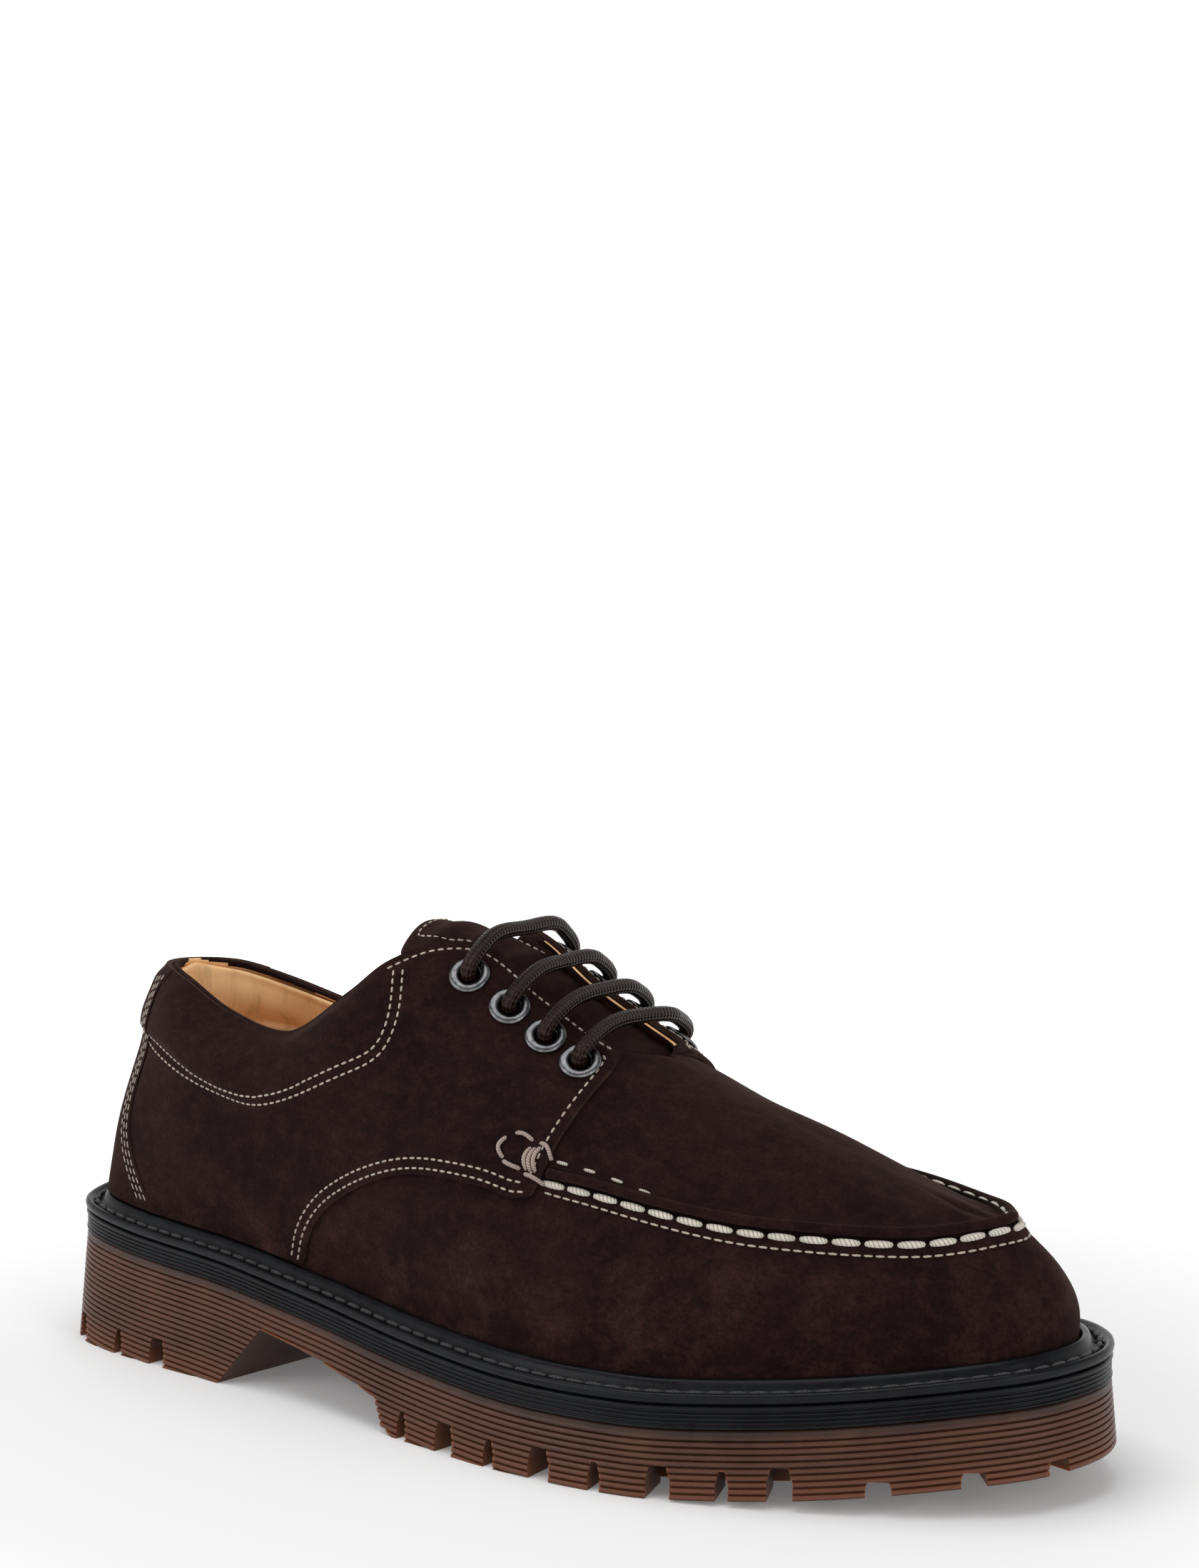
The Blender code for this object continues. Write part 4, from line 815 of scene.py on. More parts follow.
def upper_leather(suede, lining):
    """The upper: outer face, rolled top edge and inner face as one closed wall."""
    rim_steps = (0.17, 0.5, 0.83)
    inner_rows = np.linspace(0, 2, 34)[::-1]
    columns = []
    for c in range(NET_COLUMNS):
        way = 2 * c / NET_COLUMNS
        rows = seam_rows(way)
        outer = leather(way, rows)[0]
        inner = leather(way, inner_rows, -WALL, seam=0.0)[0]
        up = unit(outer[-1] - outer[-3])
        share = place_of(way)[1]
        rolled = 0.0 if share >= SLOT_END - 1e-9 else 0.5 * WALL
        rim = []
        for step in rim_steps:
            rim.append(outer[-1] * (1 - step) + inner[0] * step + up * rolled * math.sin(math.pi * step))
        columns.append(np.vstack([outer, rim, inner]))
    outer_rows = len(rows)
    points = np.array(columns)
    height = points.shape[1]
    faces = grid_faces(NET_COLUMNS, height, wrap=True)
    column = faces[:, 0] // height
    row = faces[:, 0] % height
    share = np.abs((2 * column / NET_COLUMNS + 1) % 2 - 1)
    after = np.abs((2 * (column + 1) / NET_COLUMNS + 1) % 2 - 1)
    in_rim = (row >= outer_rows - 1) & (row < outer_rows + len(rim_steps))
    closed_spine = np.minimum(share, after) >= SLOT_END - 1e-6
    faces = faces[~(in_rim & closed_spine)]
    feather = closing_faces(NET_COLUMNS, height)
    upper = new_piece("upper_leather", points.reshape(-1, 3), np.vstack([faces, feather]), suede)
    upper.data.materials.append(lining)
    tag_inside(upper, wrap=0.001)
    return upper


def closing_faces(columns, rows):
    """Quads that join the last row of a ring of columns to its first row."""
    k = np.arange(columns)
    n = (k + 1) % columns
    return np.stack([k * rows + rows - 1, n * rows + rows - 1, n * rows, k * rows], axis=1)


def tag_inside(upper, wrap):
    """Gives the faces inside the shoe the lining's finish. wrap: how far it rounds the inner heel's rim."""
    points, quads = inner_skin()
    tree = BVHTree.FromPolygons([tuple(p) for p in points], quads)
    skin, search, middle = 0.0003, 0.004, -0.004
    for face in upper.data.polygons:
        centre = face.center
        distance = tree.find_nearest(centre, search)[3]
        wrapped = fade(-centre.x, *WRAP_SPAN) * (centre.y > middle)
        if distance is not None and distance < skin + wrap * wrapped:
            face.material_index = 1


def inner_skin():
    """The inner face below the top edge, as points and quads."""
    ways = np.arange(0, NET_COLUMNS, 4) * 2 / NET_COLUMNS
    rows, below_edge = 40, 0.0005
    grid = []
    for way in ways:
        top = 2 - (edge_depth(way) + below_edge) / span_above(way)
        grid.append(leather(way, np.linspace(0, float(top), rows), -WALL, seam=0.0)[0])
    return np.array(grid).reshape(-1, 3), grid_faces(len(ways), rows, wrap=True).tolist()


def panel_net(ways, out, thickness):
    """A sheet of leather lying on the upper, closed round its edges, as points and faces."""
    near, far = [], []
    for way in ways:
        rows = seam_rows(way, 12)
        near.append(leather(way, rows, out)[0])
        far.append(leather(way, rows, out + thickness)[0])
    return closed_sheet(np.array(near), np.array(far))


def closed_sheet(near, far):
    """Two nets of points joined round their edges."""
    columns, rows = near.shape[:2]
    points = np.vstack([near.reshape(-1, 3), far.reshape(-1, 3)])
    half = columns * rows
    front = grid_faces(columns, rows)
    faces = [front, front[:, ::-1] + half]
    c = np.arange(columns - 1)
    for r in (0, rows - 1):
        here, there = c * rows + r, (c + 1) * rows + r
        faces.append(np.stack([here, there, half + there, half + here], axis=1))
    k = np.arange(rows - 1)
    for c in (0, columns - 1):
        first = c * rows + k
        faces.append(np.stack([first, first + 1, half + first + 1, half + first], axis=1))
    return points, np.vstack(faces)


def height_above_bead(x, share):
    """A height above the welt, kept clear of its bead."""
    return welt_top(x) + max(share * INSTEP_RISE, BEAD_HEIGHT + 2 * GAP)


def side_line(table, shift=0.0, lean=0.0):
    """A table of shares as a smooth line of (x, z) points, moved along and leaned forward with height."""
    line = []
    for share, high in table:
        x = (share + lean * high - 0.5) * LENGTH + shift
        line.append((x, height_above_bead(x, high)))
    line = np.array(line)
    knots = lengths_along(line)
    return natural_spline(knots, line)(np.linspace(0, knots[-1], 5 * len(table)))


def along_welt(start, end):
    """Points just above the welt's bead from one x to another."""
    return [(x, height_above_bead(x, 0.0)) for x in np.linspace(start, end, 4)]


def eyelet_frame(side, number):
    """Centre of an eyelet on the facing's outer face, its outward direction and its way round."""
    way = EYELET_STATIONS[number] if side == "lateral" else 2 - EYELET_STATIONS[number]
    place, normal = leather(way, 2 - EYELET_EDGE / span_above(way), GAP + PANEL)
    return place, normal, way


def eyelet_drills(side):
    """Rods where the eyelets go through the leather."""
    corners, deep, high = 24, 0.006, 0.004
    radius = EYELET_BORE / 2 + EYELET_WALL + GAP
    turns = np.linspace(0, 2 * math.pi, corners + 1)[:-1]
    ring = [(radius * math.cos(a), radius * math.sin(a)) for a in turns]
    faces = [list(range(corners)), list(range(corners, 2 * corners))]
    for k in range(corners):
        n = (k + 1) % corners
        faces.append((k, n, corners + n, corners + k))
    drills = []
    for number in range(EYELET_COUNT):
        centre, axis, _ = eyelet_frame(side, number)
        turn = Vector(axis).to_track_quat("Z", "Y").to_matrix().to_4x4()
        points = [turn @ Vector((x, y, z)) + Vector(centre) for z in (-deep, high) for x, y in ring]
        drills.append(new_piece(f"drill_{side}_{number}", points, faces, None, smooth=False))
    return drills


def raw_edges(panel, edge_finish):
    """Gives the cut edges of a panel the finish of raw suede."""
    steepest = 0.45
    panel.data.materials.append(edge_finish)
    for face in panel.data.polygons:
        normal = PANEL_SKIN.find_nearest(face.center)[1]
        if abs(face.normal.dot(normal)) < steepest:
            face.material_index = 1
    return panel


def quarter_panel(side, suede):
    """A quarter with its facing, trimmed to its side view and pierced for the eyelets."""
    ways = np.linspace(QUARTER_START, QUARTER_END, 210)
    low, high = (-BALL_WIDTH, 0.0) if side == "lateral" else (0.0, BALL_WIDTH)
    if side == "medial":
        ways = 2 - ways[::-1]
    panel = new_piece("quarter_panel_" + side, *panel_net(ways, GAP, PANEL), suede)
    wing = side_line(WING_EDGE)
    facing = side_line(FACING_EDGE, lean=0.0 if side == "lateral" else MEDIAL_LEAN)
    back = side_line(BACKSTAY_EDGE, shift=GAP)
    outline = [*wing, *facing, (facing[-1][0], CLEAR), (back[-1][0], CLEAR), *back[::-1]]
    outline += along_welt(back[0][0] + MARGIN, wing[0][0] - MARGIN)
    cut(panel, eyelet_drills(side))
    return cut(panel, [prism("side_view_" + side, outline, low, high)], "INTERSECT")


def heel_strap(suede):
    """The strap round the heel."""
    ways = np.linspace(-STRAP_END, STRAP_END, 120) % 2
    strap = new_piece("heel_strap", *panel_net(ways, GAP, BACKSTAY_PANEL), suede)
    edge = side_line(BACKSTAY_EDGE)
    behind = -REACH * LENGTH
    outline = [*edge, (edge[-1][0], CLEAR), (behind, CLEAR)] + along_welt(behind, edge[0][0] - MARGIN)
    return cut(strap, [prism("side_view_back", outline, -BALL_WIDTH, BALL_WIDTH)], "INTERSECT")


def edge_depth(way):
    """How far below the rim the lining starts inside the collar."""
    round_heel = (way + 1) % 2 - 1
    across_heel = 1 - fade(np.abs(round_heel + 0.10), 0.09, 0.15)
    throat = fade(np.abs(round_heel), THROAT_TOP - 0.04, THROAT_TOP)
    along_inner = 1 - np.abs(np.abs(way % 2 - 1.8) / 0.2 - 0.5)
    inner = fade(along_inner, 0.3, 0.9) * (way % 2 > 1.55)
    lowered = LINING_INNER_DROP * inner + LINING_THROAT_DROP * throat
    return LINING_DEPTH - LINING_HEEL_RISE * across_heel + lowered


def collar_pad(lining):
    """The padded roll inside the collar, with the soft upright creases of its leather."""
    t = np.linspace(0, 1, 34)
    grids = ([], [])
    for way in np.linspace(-PAD_END, PAD_END, 300):
        rows = PAD_FOOT + t * (2 - edge_depth(way) / float(span_above(way)) - PAD_FOOT)
        ends = 1 - fade(abs(way), 0.30, PAD_END)
        crease = PAD_CREASE * np.sin(130 * way + 2.2 * math.sin(9 * way) + 1.5 * t) ** 3
        crease += PAD_WRINKLE * np.sin(71 * way + 2.5 * t + 1)
        roll = COLLAR_PAD * np.sin(math.pi * t**0.9) ** 0.8
        pad = LINING_EDGE + (roll + crease * np.sin(math.pi * t)) * ends
        base = leather(way, rows, -WALL - 3 * GAP, seam=0.0)[0]
        normal = leather(way, rows, 0.0, seam=0.0)[1]
        grids[0].append(base)
        grids[1].append(base - normal * pad[:, None])
    return new_piece("collar_pad", *closed_sheet(np.array(grids[0]), np.array(grids[1])), lining)


def tongue_leather(suede):
    """The tongue: under the facings up to the throat's top, then on past them. Gives its upper face too."""
    along_count, across_count = 110, 49
    stations = [at for at in STATIONS if THROAT_TOP <= at < QUARTER_END][::-1]
    lobe = (-1.0, -0.67, -0.33, 0.0, 0.33, 0.67, 1.0)
    sheets = []
    for depth in (0.0, TONGUE_THICKNESS):
        out = -WALL - 5 * GAP - depth
        grid = []
        for at in stations:
            column = []
            for way, underlaps in ((at, TONGUE_UNDERLAP), (2 - at, TONGUE_UNDERLAP[::-1])):
                for away in underlaps:
                    column.append(leather(way, 2 - away / span_above(way), out, seam=0.0)[0])
            middle = (column[2] + column[3]) / 2 + np.array([0.0, 0.0, TONGUE_CROWN])
            grid.append(column[:3] + [middle] + column[3:])
        start = grid[-1][3]
        for forward, up, half_width, sag in TONGUE_TOP:
            centre = start + np.array([-forward, 0.0, up])
            half = half_width * BALL_WIDTH
            grid.append([centre + np.array([0.0, across * half, -sag * across**2]) for across in lobe])
        grid = np.array(grid)
        across = np.linspace(0, len(lobe) - 1, across_count)
        wide = np.array([natural_spline(range(len(lobe)), row)(across) for row in grid])
        reach = lengths_along(grid[:, 3])
        places = np.linspace(0, reach[-1], along_count)
        lines = [natural_spline(reach, wide[:, k])(places) for k in range(across_count)]
        sheets.append(np.stack(lines, axis=1))
    top, under = sheets
    c, r = np.arange(along_count), np.arange(across_count)
    from_end = np.minimum(c, along_count - 1 - c)[:, None]
    edge = np.minimum(from_end, np.minimum(r, across_count - 1 - r)[None, :])
    pinch = np.select([edge == 0, edge == 1, edge == 2], [0.30, 0.10, 0.02], 0.0)[..., None]
    gap = under - top
    ripple = TONGUE_RIPPLE * np.sin(0.55 * c)[:, None, None] * np.array([0, 0, 1]) * (from_end[..., None] > 2)
    face = top + gap * pinch + ripple
    return new_piece("tongue_leather", *closed_sheet(face, under - gap * pinch + ripple), suede), face


# The sole
def fine_ring(count):
    """Places and outward directions round the outline, count on each side."""
    shares = np.linspace(0, 1, count + 1)
    ring = [("lateral", s) for s in shares] + [("medial", s) for s in shares[-2:0:-1]]
    edge = np.array([outline_point(side, s) for side, s in ring])
    inner = np.array([outline_point(side, s, STEP_IN) for side, s in ring])
    return edge, (edge - inner) / STEP_IN


def strip_cap(ring):
    """Faces across a ring between the outer and the inner side."""
    count = len(ring)
    half = count // 2
    faces = [(ring[0], ring[1], ring[-1])]
    for k in range(1, half - 1):
        faces.append((ring[k], ring[k + 1], ring[count - k - 1], ring[count - k]))
    faces.append((ring[half - 1], ring[half], ring[half + 1]))
    return faces


def side_rows(rows, count):
    """Rings round the outline from (height below the welt's top, how far outside the outline) rows."""
    edge, out = fine_ring(count)
    points = []
    for depth, outside in rows:
        place = edge + out * np.asarray(outside).reshape(-1, 1)
        points.append(np.column_stack([place, welt_top(place[:, 0]) - depth]))
    return np.array(points)


def plate(name, rows, count, material):
    """A plate whose side follows the rows, closed above and below."""
    rings = side_rows(rows, count)
    around = rings.shape[1]
    columns = rings.transpose(1, 0, 2).reshape(-1, 3)
    faces = [tuple(f) for f in grid_faces(around, len(rows), wrap=True)]
    faces += strip_cap([k * len(rows) for k in range(around)])
    faces += strip_cap([k * len(rows) + len(rows) - 1 for k in range(around)])
    return new_piece(name, columns, faces, material)


def share_of_x(side, share):
    """Share of one side's outline where it reaches a share of LENGTH."""
    lengths, points = OUTLINE[side]
    return float(np.interp((share - 0.5) * LENGTH, points[:, 0], lengths / lengths[-1]))


def notch_cutter():
    """All notches between the rim lugs as one cutter."""
    points = []
    faces = []
    for side in ("lateral", "medial"):
        for share, kind in LUG_NOTCHES:
            at = share_of_x(side, share)
            edge = outline_point(side, at)
            inwards = unit(outline_point(side, at, STEP_IN) - edge)
            along = np.array([-inwards[1], inwards[0]])
            foot, head, tall = NOTCH_KINDS[kind]
            top = tall * LUG_HEIGHT
            base = spring_at(edge[0])
            first = len(points)
            for reach in (-PAST_EDGE, LUG_REACH):
                middle = edge + inwards * reach
                for width, height in ((foot, -PAST_EDGE), (foot, top * NOTCH_WAIST), (head, top)):
                    for way in (-1, 1):
                        x, y = middle + along * way * width / 2
                        points.append((x, y, base + height))
            a = [first + k for k in range(12)]
            faces += [(a[0], a[2], a[4], a[5], a[3], a[1]), (a[6], a[7], a[9], a[11], a[10], a[8])]
            for k, n in ((0, 2), (2, 4), (4, 5), (5, 3), (3, 1), (1, 0)):
                faces.append((a[k], a[k + 6], a[n + 6], a[n]))
    return new_piece("lug_notches", points, faces, None, smooth=False)


def tread_channel(name, start, end, stations):
    """A closed groove in the tread behind the rim lugs."""
    loop = []
    for side in ("lateral", "medial"):
        steps = np.linspace(share_of_x(side, start), share_of_x(side, end), stations)
        steps = steps if side == "lateral" else steps[::-1]
        loop += [outline_point(side, at, TREAD_RIM - CHANNEL_OVERLAP) for at in steps]
    loop = np.array(loop)
    before = unit(loop - np.roll(loop, 1, axis=0))
    after = unit(np.roll(loop, -1, axis=0) - loop)
    inwards = np.column_stack([-before[:, 1] - after[:, 1], before[:, 0] + after[:, 0]])
    inwards /= 1 + (before * after).sum(axis=1)[:, None]
    near, far = 0.0, CHANNEL_WIDTH
    walls = ((near, -PAST_TREAD), (near, TREAD_DEPTH), (far, TREAD_DEPTH), (far, -PAST_TREAD))
    points = []
    for inside, height in walls:
        points += [(x, y, spring_at(x) + height) for x, y in loop + inwards * inside]
    count = len(loop)
    faces = []
    for r in range(4):
        for k in range(count):
            n = (k + 1) % count
            m = (r + 1) % 4
            faces.append((r * count + k, r * count + n, m * count + n, m * count + k))
    return new_piece(name, points, faces, None, smooth=False)


def cross_grooves():
    """Grooves across the tread field inside the rim lugs."""
    points = []
    faces = []
    for share, lean in CROSS_GROOVES:
        first = len(points)
        for side, way in (("lateral", 0), ("medial", 1)):
            at = share_of_x(side, share + way * lean)
            end = outline_point(side, at, TREAD_RIM - GROOVE_OVERLAP)
            for dx in (-GROOVE_WIDTH / 2, GROOVE_WIDTH / 2):
                for height in (-PAST_TREAD, GROOVE_SHARE * TREAD_DEPTH):
                    points.append((end[0] + dx, end[1], spring_at(end[0]) + height))
        a = [first + k for k in range(8)]
        faces += [(a[0], a[1], a[3], a[2]), (a[4], a[6], a[7], a[5]), (a[0], a[4], a[5], a[1])]
        faces += [(a[2], a[3], a[7], a[6]), (a[1], a[5], a[7], a[3]), (a[0], a[2], a[6], a[4])]
    return new_piece("cross_grooves", points, faces, None, smooth=False)


def ground_cutter():
    """Everything under the tread: flat ground and the toe spring."""
    back, front = -REACH * LENGTH, REACH * LENGTH
    top = [(back, 0.0)]
    for share in np.linspace(SPRING_START, 1.0, 33):
        x = (share - 0.5) * LENGTH
        top.append((x, spring_at(x)))
    top += [(front, TOE_SPRING), (front, -BELOW), (back, -BELOW)]
    return prism("ground", top, -BALL_WIDTH, BALL_WIDTH)


def arch_cutter():
    """The hollow under the waist, with the slanted breast of the heel."""
    outline = [((share - 0.5) * LENGTH, high * HEEL_HEIGHT) for share, high in ARCH_PROFILE]
    breast_slant = 0.008
    outline += [(outline[-1][0], -MARGIN), (outline[0][0] - breast_slant, -MARGIN)]
    return prism("arch", outline, -BALL_WIDTH, BALL_WIDTH, shear=ARCH_SHEAR)


def gum_sole(gum):
    """The gum outsole with its rounded side ribs, cut to the ground, the arch and the tread."""
    start = BAND + GAP
    rows = [(start + depth, outside) for depth, outside in GUM_EDGE]
    depth = start + RIB_START
    while depth < welt_top(-LENGTH / 2) + RIB_PITCH:
        flare = SIDE_FLARE * (depth - start)
        for part, dip in GUM_RIB:
            rows.append((depth + part * RIB_PITCH, flare - dip * RIB_DEPTH))
        depth += RIB_PITCH
    sole = plate("gum_sole", rows, RING_STEPS, gum)
    cutters = [ground_cutter(), arch_cutter(), cross_grooves(), notch_cutter()]
    cutters += [tread_channel(*channel) for channel in CHANNELS]
    cut(sole, cutters)
    places = np.empty(len(sole.data.vertices) * 3)
    sole.data.vertices.foreach_get("co", places)
    places = places.reshape(-1, 3)
    store(sole, "below_welt", welt_top(places[:, 0]) - places[:, 2])
    store(sole, "above_ground", places[:, 2] - spring_at(places[:, 0]))
    return sole


def store(piece, name, values):
    """Keeps one number a point on a piece for its material to read."""
    kept_values = piece.data.attributes.new(name, "FLOAT", "POINT").data
    kept_values.foreach_set("value", np.asarray(values, np.float32))


def rubber_band(black):
    """The dark band: a fat rounded roll, three fine ribs and a plain foot."""
    top = WELT_THICKNESS + GAP
    rows = [(top + depth, outside) for depth, outside in BAND_ROLL]
    for k in range(BAND_RIBS):
        here = top + BAND_RIB_START + k * BAND_RIB_PITCH
        rows += [(here + depth, outside) for depth, outside in BAND_RIB]
    rows += [(top + depth, outside) for depth, outside in BAND_FOOT]
    rows.append((BAND, BAND_FOOT_OUT))
    return plate("rubber_band", rows, RING_STEPS, black)


def stitched_welt(black):
    """The welt: a raised rim, a rough channel for the stitches and a bead against the upper."""
    rings = side_rows(WELT_SECTION, WELT_STEPS)
    height, around = rings.shape[:2]
    rough = np.isin(np.arange(height), CHANNEL_ROWS)
    rings[:, :, 2] += rough[:, None] * CHANNEL_ROUGHNESS * np.where(np.arange(around) % 4 < 2, 1, -1)
    points = rings.transpose(1, 0, 2).reshape(-1, 3)
    faces = np.vstack([grid_faces(around, height, wrap=True), closing_faces(around, height)])
    return new_piece("stitched_welt", points, faces, black)


# Node building
def add(tree, kind, inputs=None, **settings):
    """A node with its settings and inputs: a socket is linked and a value is set."""
    node = tree.nodes.new(kind)
    for key, value in settings.items():
        setattr(node, key, value)
    for key, value in (inputs or {}).items():
        if isinstance(value, bpy.types.NodeSocket):
            tree.links.new(value, node.inputs[key])
        else:
            node.inputs[key].default_value = value
    return node


def finish_material(name, **values):
    """A new material with its tree, shader and Object coordinates. values: the shader's own constants."""
    material = bpy.data.materials.new(name)
    material.use_nodes = True
    tree = material.node_tree
    shader = tree.nodes["Principled BSDF"]
    for key, value in values.items():
        shader.inputs[key.replace("_", " ")].default_value = value
    place = add(tree, "ShaderNodeTexCoord").outputs["Object"]
    return material, tree, shader, place


def noise(tree, place, scale, detail=3.0, roughness=0.55):
    """A noise value, with its scale in patches to the metre."""
    inputs = {"Vector": place, "Scale": scale, "Detail": detail, "Roughness": roughness}
    return add(tree, "ShaderNodeTexNoise", inputs).outputs["Fac"]


def stretched(tree, place, scale, turn=(0, 0, 0)):
    """Coordinates stretched and turned."""
    inputs = {"Vector": place, "Scale": scale, "Rotation": turn}
    return add(tree, "ShaderNodeMapping", inputs).outputs["Vector"]


def ramp(tree, value, *stops):
    """A colour ramp from (position, colour) stops."""
    node = add(tree, "ShaderNodeValToRGB", {"Fac": value})
    marks = node.color_ramp.elements
    while len(marks) < len(stops):
        marks.new(0.5)
    for mark, (position, colour) in zip(marks, stops):
        mark.position = position
        mark.color = (*colour, 1.0) if isinstance(colour, tuple) else (colour, colour, colour, 1.0)
    return node.outputs["Color"]


def mixed(tree, value, first, second, blend="MIX"):
    """Two colours mixed by a value."""
    node = add(tree, "ShaderNodeMix", data_type="RGBA", blend_type=blend)
    for socket, given in ((node.inputs[0], value), (node.inputs[6], first), (node.inputs[7], second)):
        if isinstance(given, bpy.types.NodeSocket):
            tree.links.new(given, socket)
        else:
            socket.default_value = (*given, 1.0) if isinstance(given, tuple) else given
    return node.outputs[2]


def sums(tree, operation, first, second):
    """One step of arithmetic."""
    return add(tree, "ShaderNodeMath", {0: first, 1: second}, operation=operation).outputs[0]


def scaled(tree, value, low, high, new_low, new_high):
    """A value moved from one range to another and held inside it."""
    inputs = {"Value": value, 1: low, 2: high, 3: new_low, 4: new_high}
    return add(tree, "ShaderNodeMapRange", inputs, clamp=True).outputs[0]


def bumps(tree, shader, *layers):
    """Bump layers of (height, strength, depth in metres), one on another."""
    normal = None
    for height, strength, depth in layers:
        inputs = {"Height": height, "Strength": strength, "Distance": depth}
        if normal is not None:
            inputs["Normal"] = normal
        normal = add(tree, "ShaderNodeBump", inputs).outputs["Normal"]
    tree.links.new(normal, shader.inputs["Normal"])


def kept(tree, name):
    """A number that the piece keeps at its points."""
    return add(tree, "ShaderNodeAttribute", attribute_name=name).outputs["Fac"]


def suede_finish(name, dark, light, worn):
    """Brushed suede: cloudy nap, fine fibres and paler scuffed patches low down."""
    material, tree, shader, place = finish_material(
        name,
        Roughness=0.95,
        Specular_IOR_Level=0.06,
        Sheen_Weight=0.10,
        Sheen_Roughness=0.5,
        Sheen_Tint=(0.55, 0.32, 0.25, 1),
    )
    clouds = noise(tree, place, 42, 4, 0.6)
    strokes = noise(tree, stretched(tree, place, (0.8, 1.0, 1.1), (0, 0.5, 0)), 260, 4, 0.62)
    fibres = noise(tree, place, 1100, 3, 0.75)
    base = mixed(tree, ramp(tree, clouds, (0.36, 0.0), (0.66, 1.0)), dark, light)
    base = mixed(tree, scaled(tree, strokes, 0.45, 0.80, 0.0, 0.35), base, worn)
    height = add(tree, "ShaderNodeSeparateXYZ", {"Vector": place}).outputs["Z"]
    low = scaled(tree, height, 0.034, 0.070, 1.0, 0.0)
    scuffs = scaled(tree, noise(tree, place, 62, 6, 0.72), 0.47, 0.72, 0.0, 0.9)
    base = mixed(tree, sums(tree, "MULTIPLY", low, scuffs), base, worn)
    fibre_tone = scaled(tree, fibres, 0.32, 0.70, 0.50, 1.55)
    tone = add(tree, "ShaderNodeCombineXYZ", {0: fibre_tone, 1: fibre_tone, 2: fibre_tone}).outputs[0]
    base = mixed(tree, 0.75, base, tone, "MULTIPLY")
    tree.links.new(base, shader.inputs["Base Color"])
    bumps(tree, shader, (clouds, 0.25, 0.0006), (strokes, 0.35, 0.00035), (fibres, 0.55, 0.00016))
    return material


def gum_finish():
    """Translucent brown gum rubber, black where it meets the band, with a painted glow of light near the
    ground and painted shade on faces turned downwards.
    """
    material, tree, shader, place = finish_material(
        "gum",
        Roughness=0.38,
        Specular_IOR_Level=0.3,
        Subsurface_Weight=0.32,
        Subsurface_Radius=(0.9, 0.35, 0.15),
        Subsurface_Scale=0.006,
    )
    smudge = noise(tree, place, 70, 4, 0.6)
    brown = mixed(tree, ramp(tree, smudge, (0.3, 0.0), (0.75, 1.0)), *GUM)
    depth = sums(tree, "ADD", kept(tree, "below_welt"), sums(tree, "MULTIPLY", smudge, 0.003))
    base = mixed(tree, scaled(tree, depth, 0.0088, 0.0138, 0.0, 1.0), GUM_UNDER_BAND, brown)
    height = sums(tree, "ADD", kept(tree, "above_ground"), sums(tree, "MULTIPLY", smudge, 0.004))
    # Painted glow of light on the gum near the ground
    base = mixed(tree, scaled(tree, height, 0.002, 0.010, 0.6, 0.0), base, GUM_PAINTED_GLOW)
    # Painted shade: darker where the faces turn downwards
    normal = add(tree, "ShaderNodeNewGeometry").outputs["Normal"]
    upwards = add(tree, "ShaderNodeSeparateXYZ", {0: normal}).outputs[2]
    base = mixed(tree, scaled(tree, upwards, -0.15, -0.5, 0.0, 0.62), base, GUM_UNDERSIDE_SHADE)
    tree.links.new(base, shader.inputs["Base Color"])
    tree.links.new(scaled(tree, smudge, 0.3, 0.7, 0.32, 0.52), shader.inputs["Roughness"])
    grain = noise(tree, place, 900, 3, 0.6)
    bumps(tree, shader, (smudge, 0.15, 0.0005), (grain, 0.25, 0.00008))
    return material


def black_rubber():
    """Satin near-black rubber with a dusty bloom."""
    material, tree, shader, place = finish_material("welt_rubber", Specular_IOR_Level=0.17)
    bloom = noise(tree, place, 120, 5, 0.65)
    base = mixed(tree, scaled(tree, bloom, 0.35, 0.75, 0.0, 1.0), *WELT_RUBBER)
    tree.links.new(base, shader.inputs["Base Color"])
    tree.links.new(scaled(tree, bloom, 0.3, 0.7, 0.21, 0.40), shader.inputs["Roughness"])
    grain = noise(tree, place, 1400, 3, 0.6)
    bumps(tree, shader, (bloom, 0.2, 0.0003), (grain, 0.3, 0.00007))
    return material


def lining_finish():
    """Tan lining leather with fine pores, soft wrinkles with painted shade in their hollows, and warm
    patches.
    """
    material, tree, shader, place = finish_material("lining", Specular_IOR_Level=0.32)
    dark, light, wrinkle_shade = LINING
    patches = noise(tree, place, 30, 3, 0.5)
    cells = add(tree, "ShaderNodeTexVoronoi", {"Vector": place, "Scale": 900.0}, feature="DISTANCE_TO_EDGE")
    wrinkles = noise(tree, stretched(tree, place, (1.0, 1.0, 0.22)), 190, 4, 0.6)
    base = mixed(tree, scaled(tree, patches, 0.3, 0.7, 0.0, 1.0), dark, light)
    # Painted shade: the lining turns darker in the wrinkles' hollows, where their bump is low
    base = mixed(tree, scaled(tree, wrinkles, 0.30, 0.48, 0.35, 0.0), base, wrinkle_shade)
    tree.links.new(base, shader.inputs["Base Color"])
    tree.links.new(scaled(tree, patches, 0.3, 0.7, 0.52, 0.66), shader.inputs["Roughness"])
    bumps(tree, shader, (wrinkles, 0.45, 0.0006), (cells.outputs["Distance"], 0.30, 0.0002))
    return material


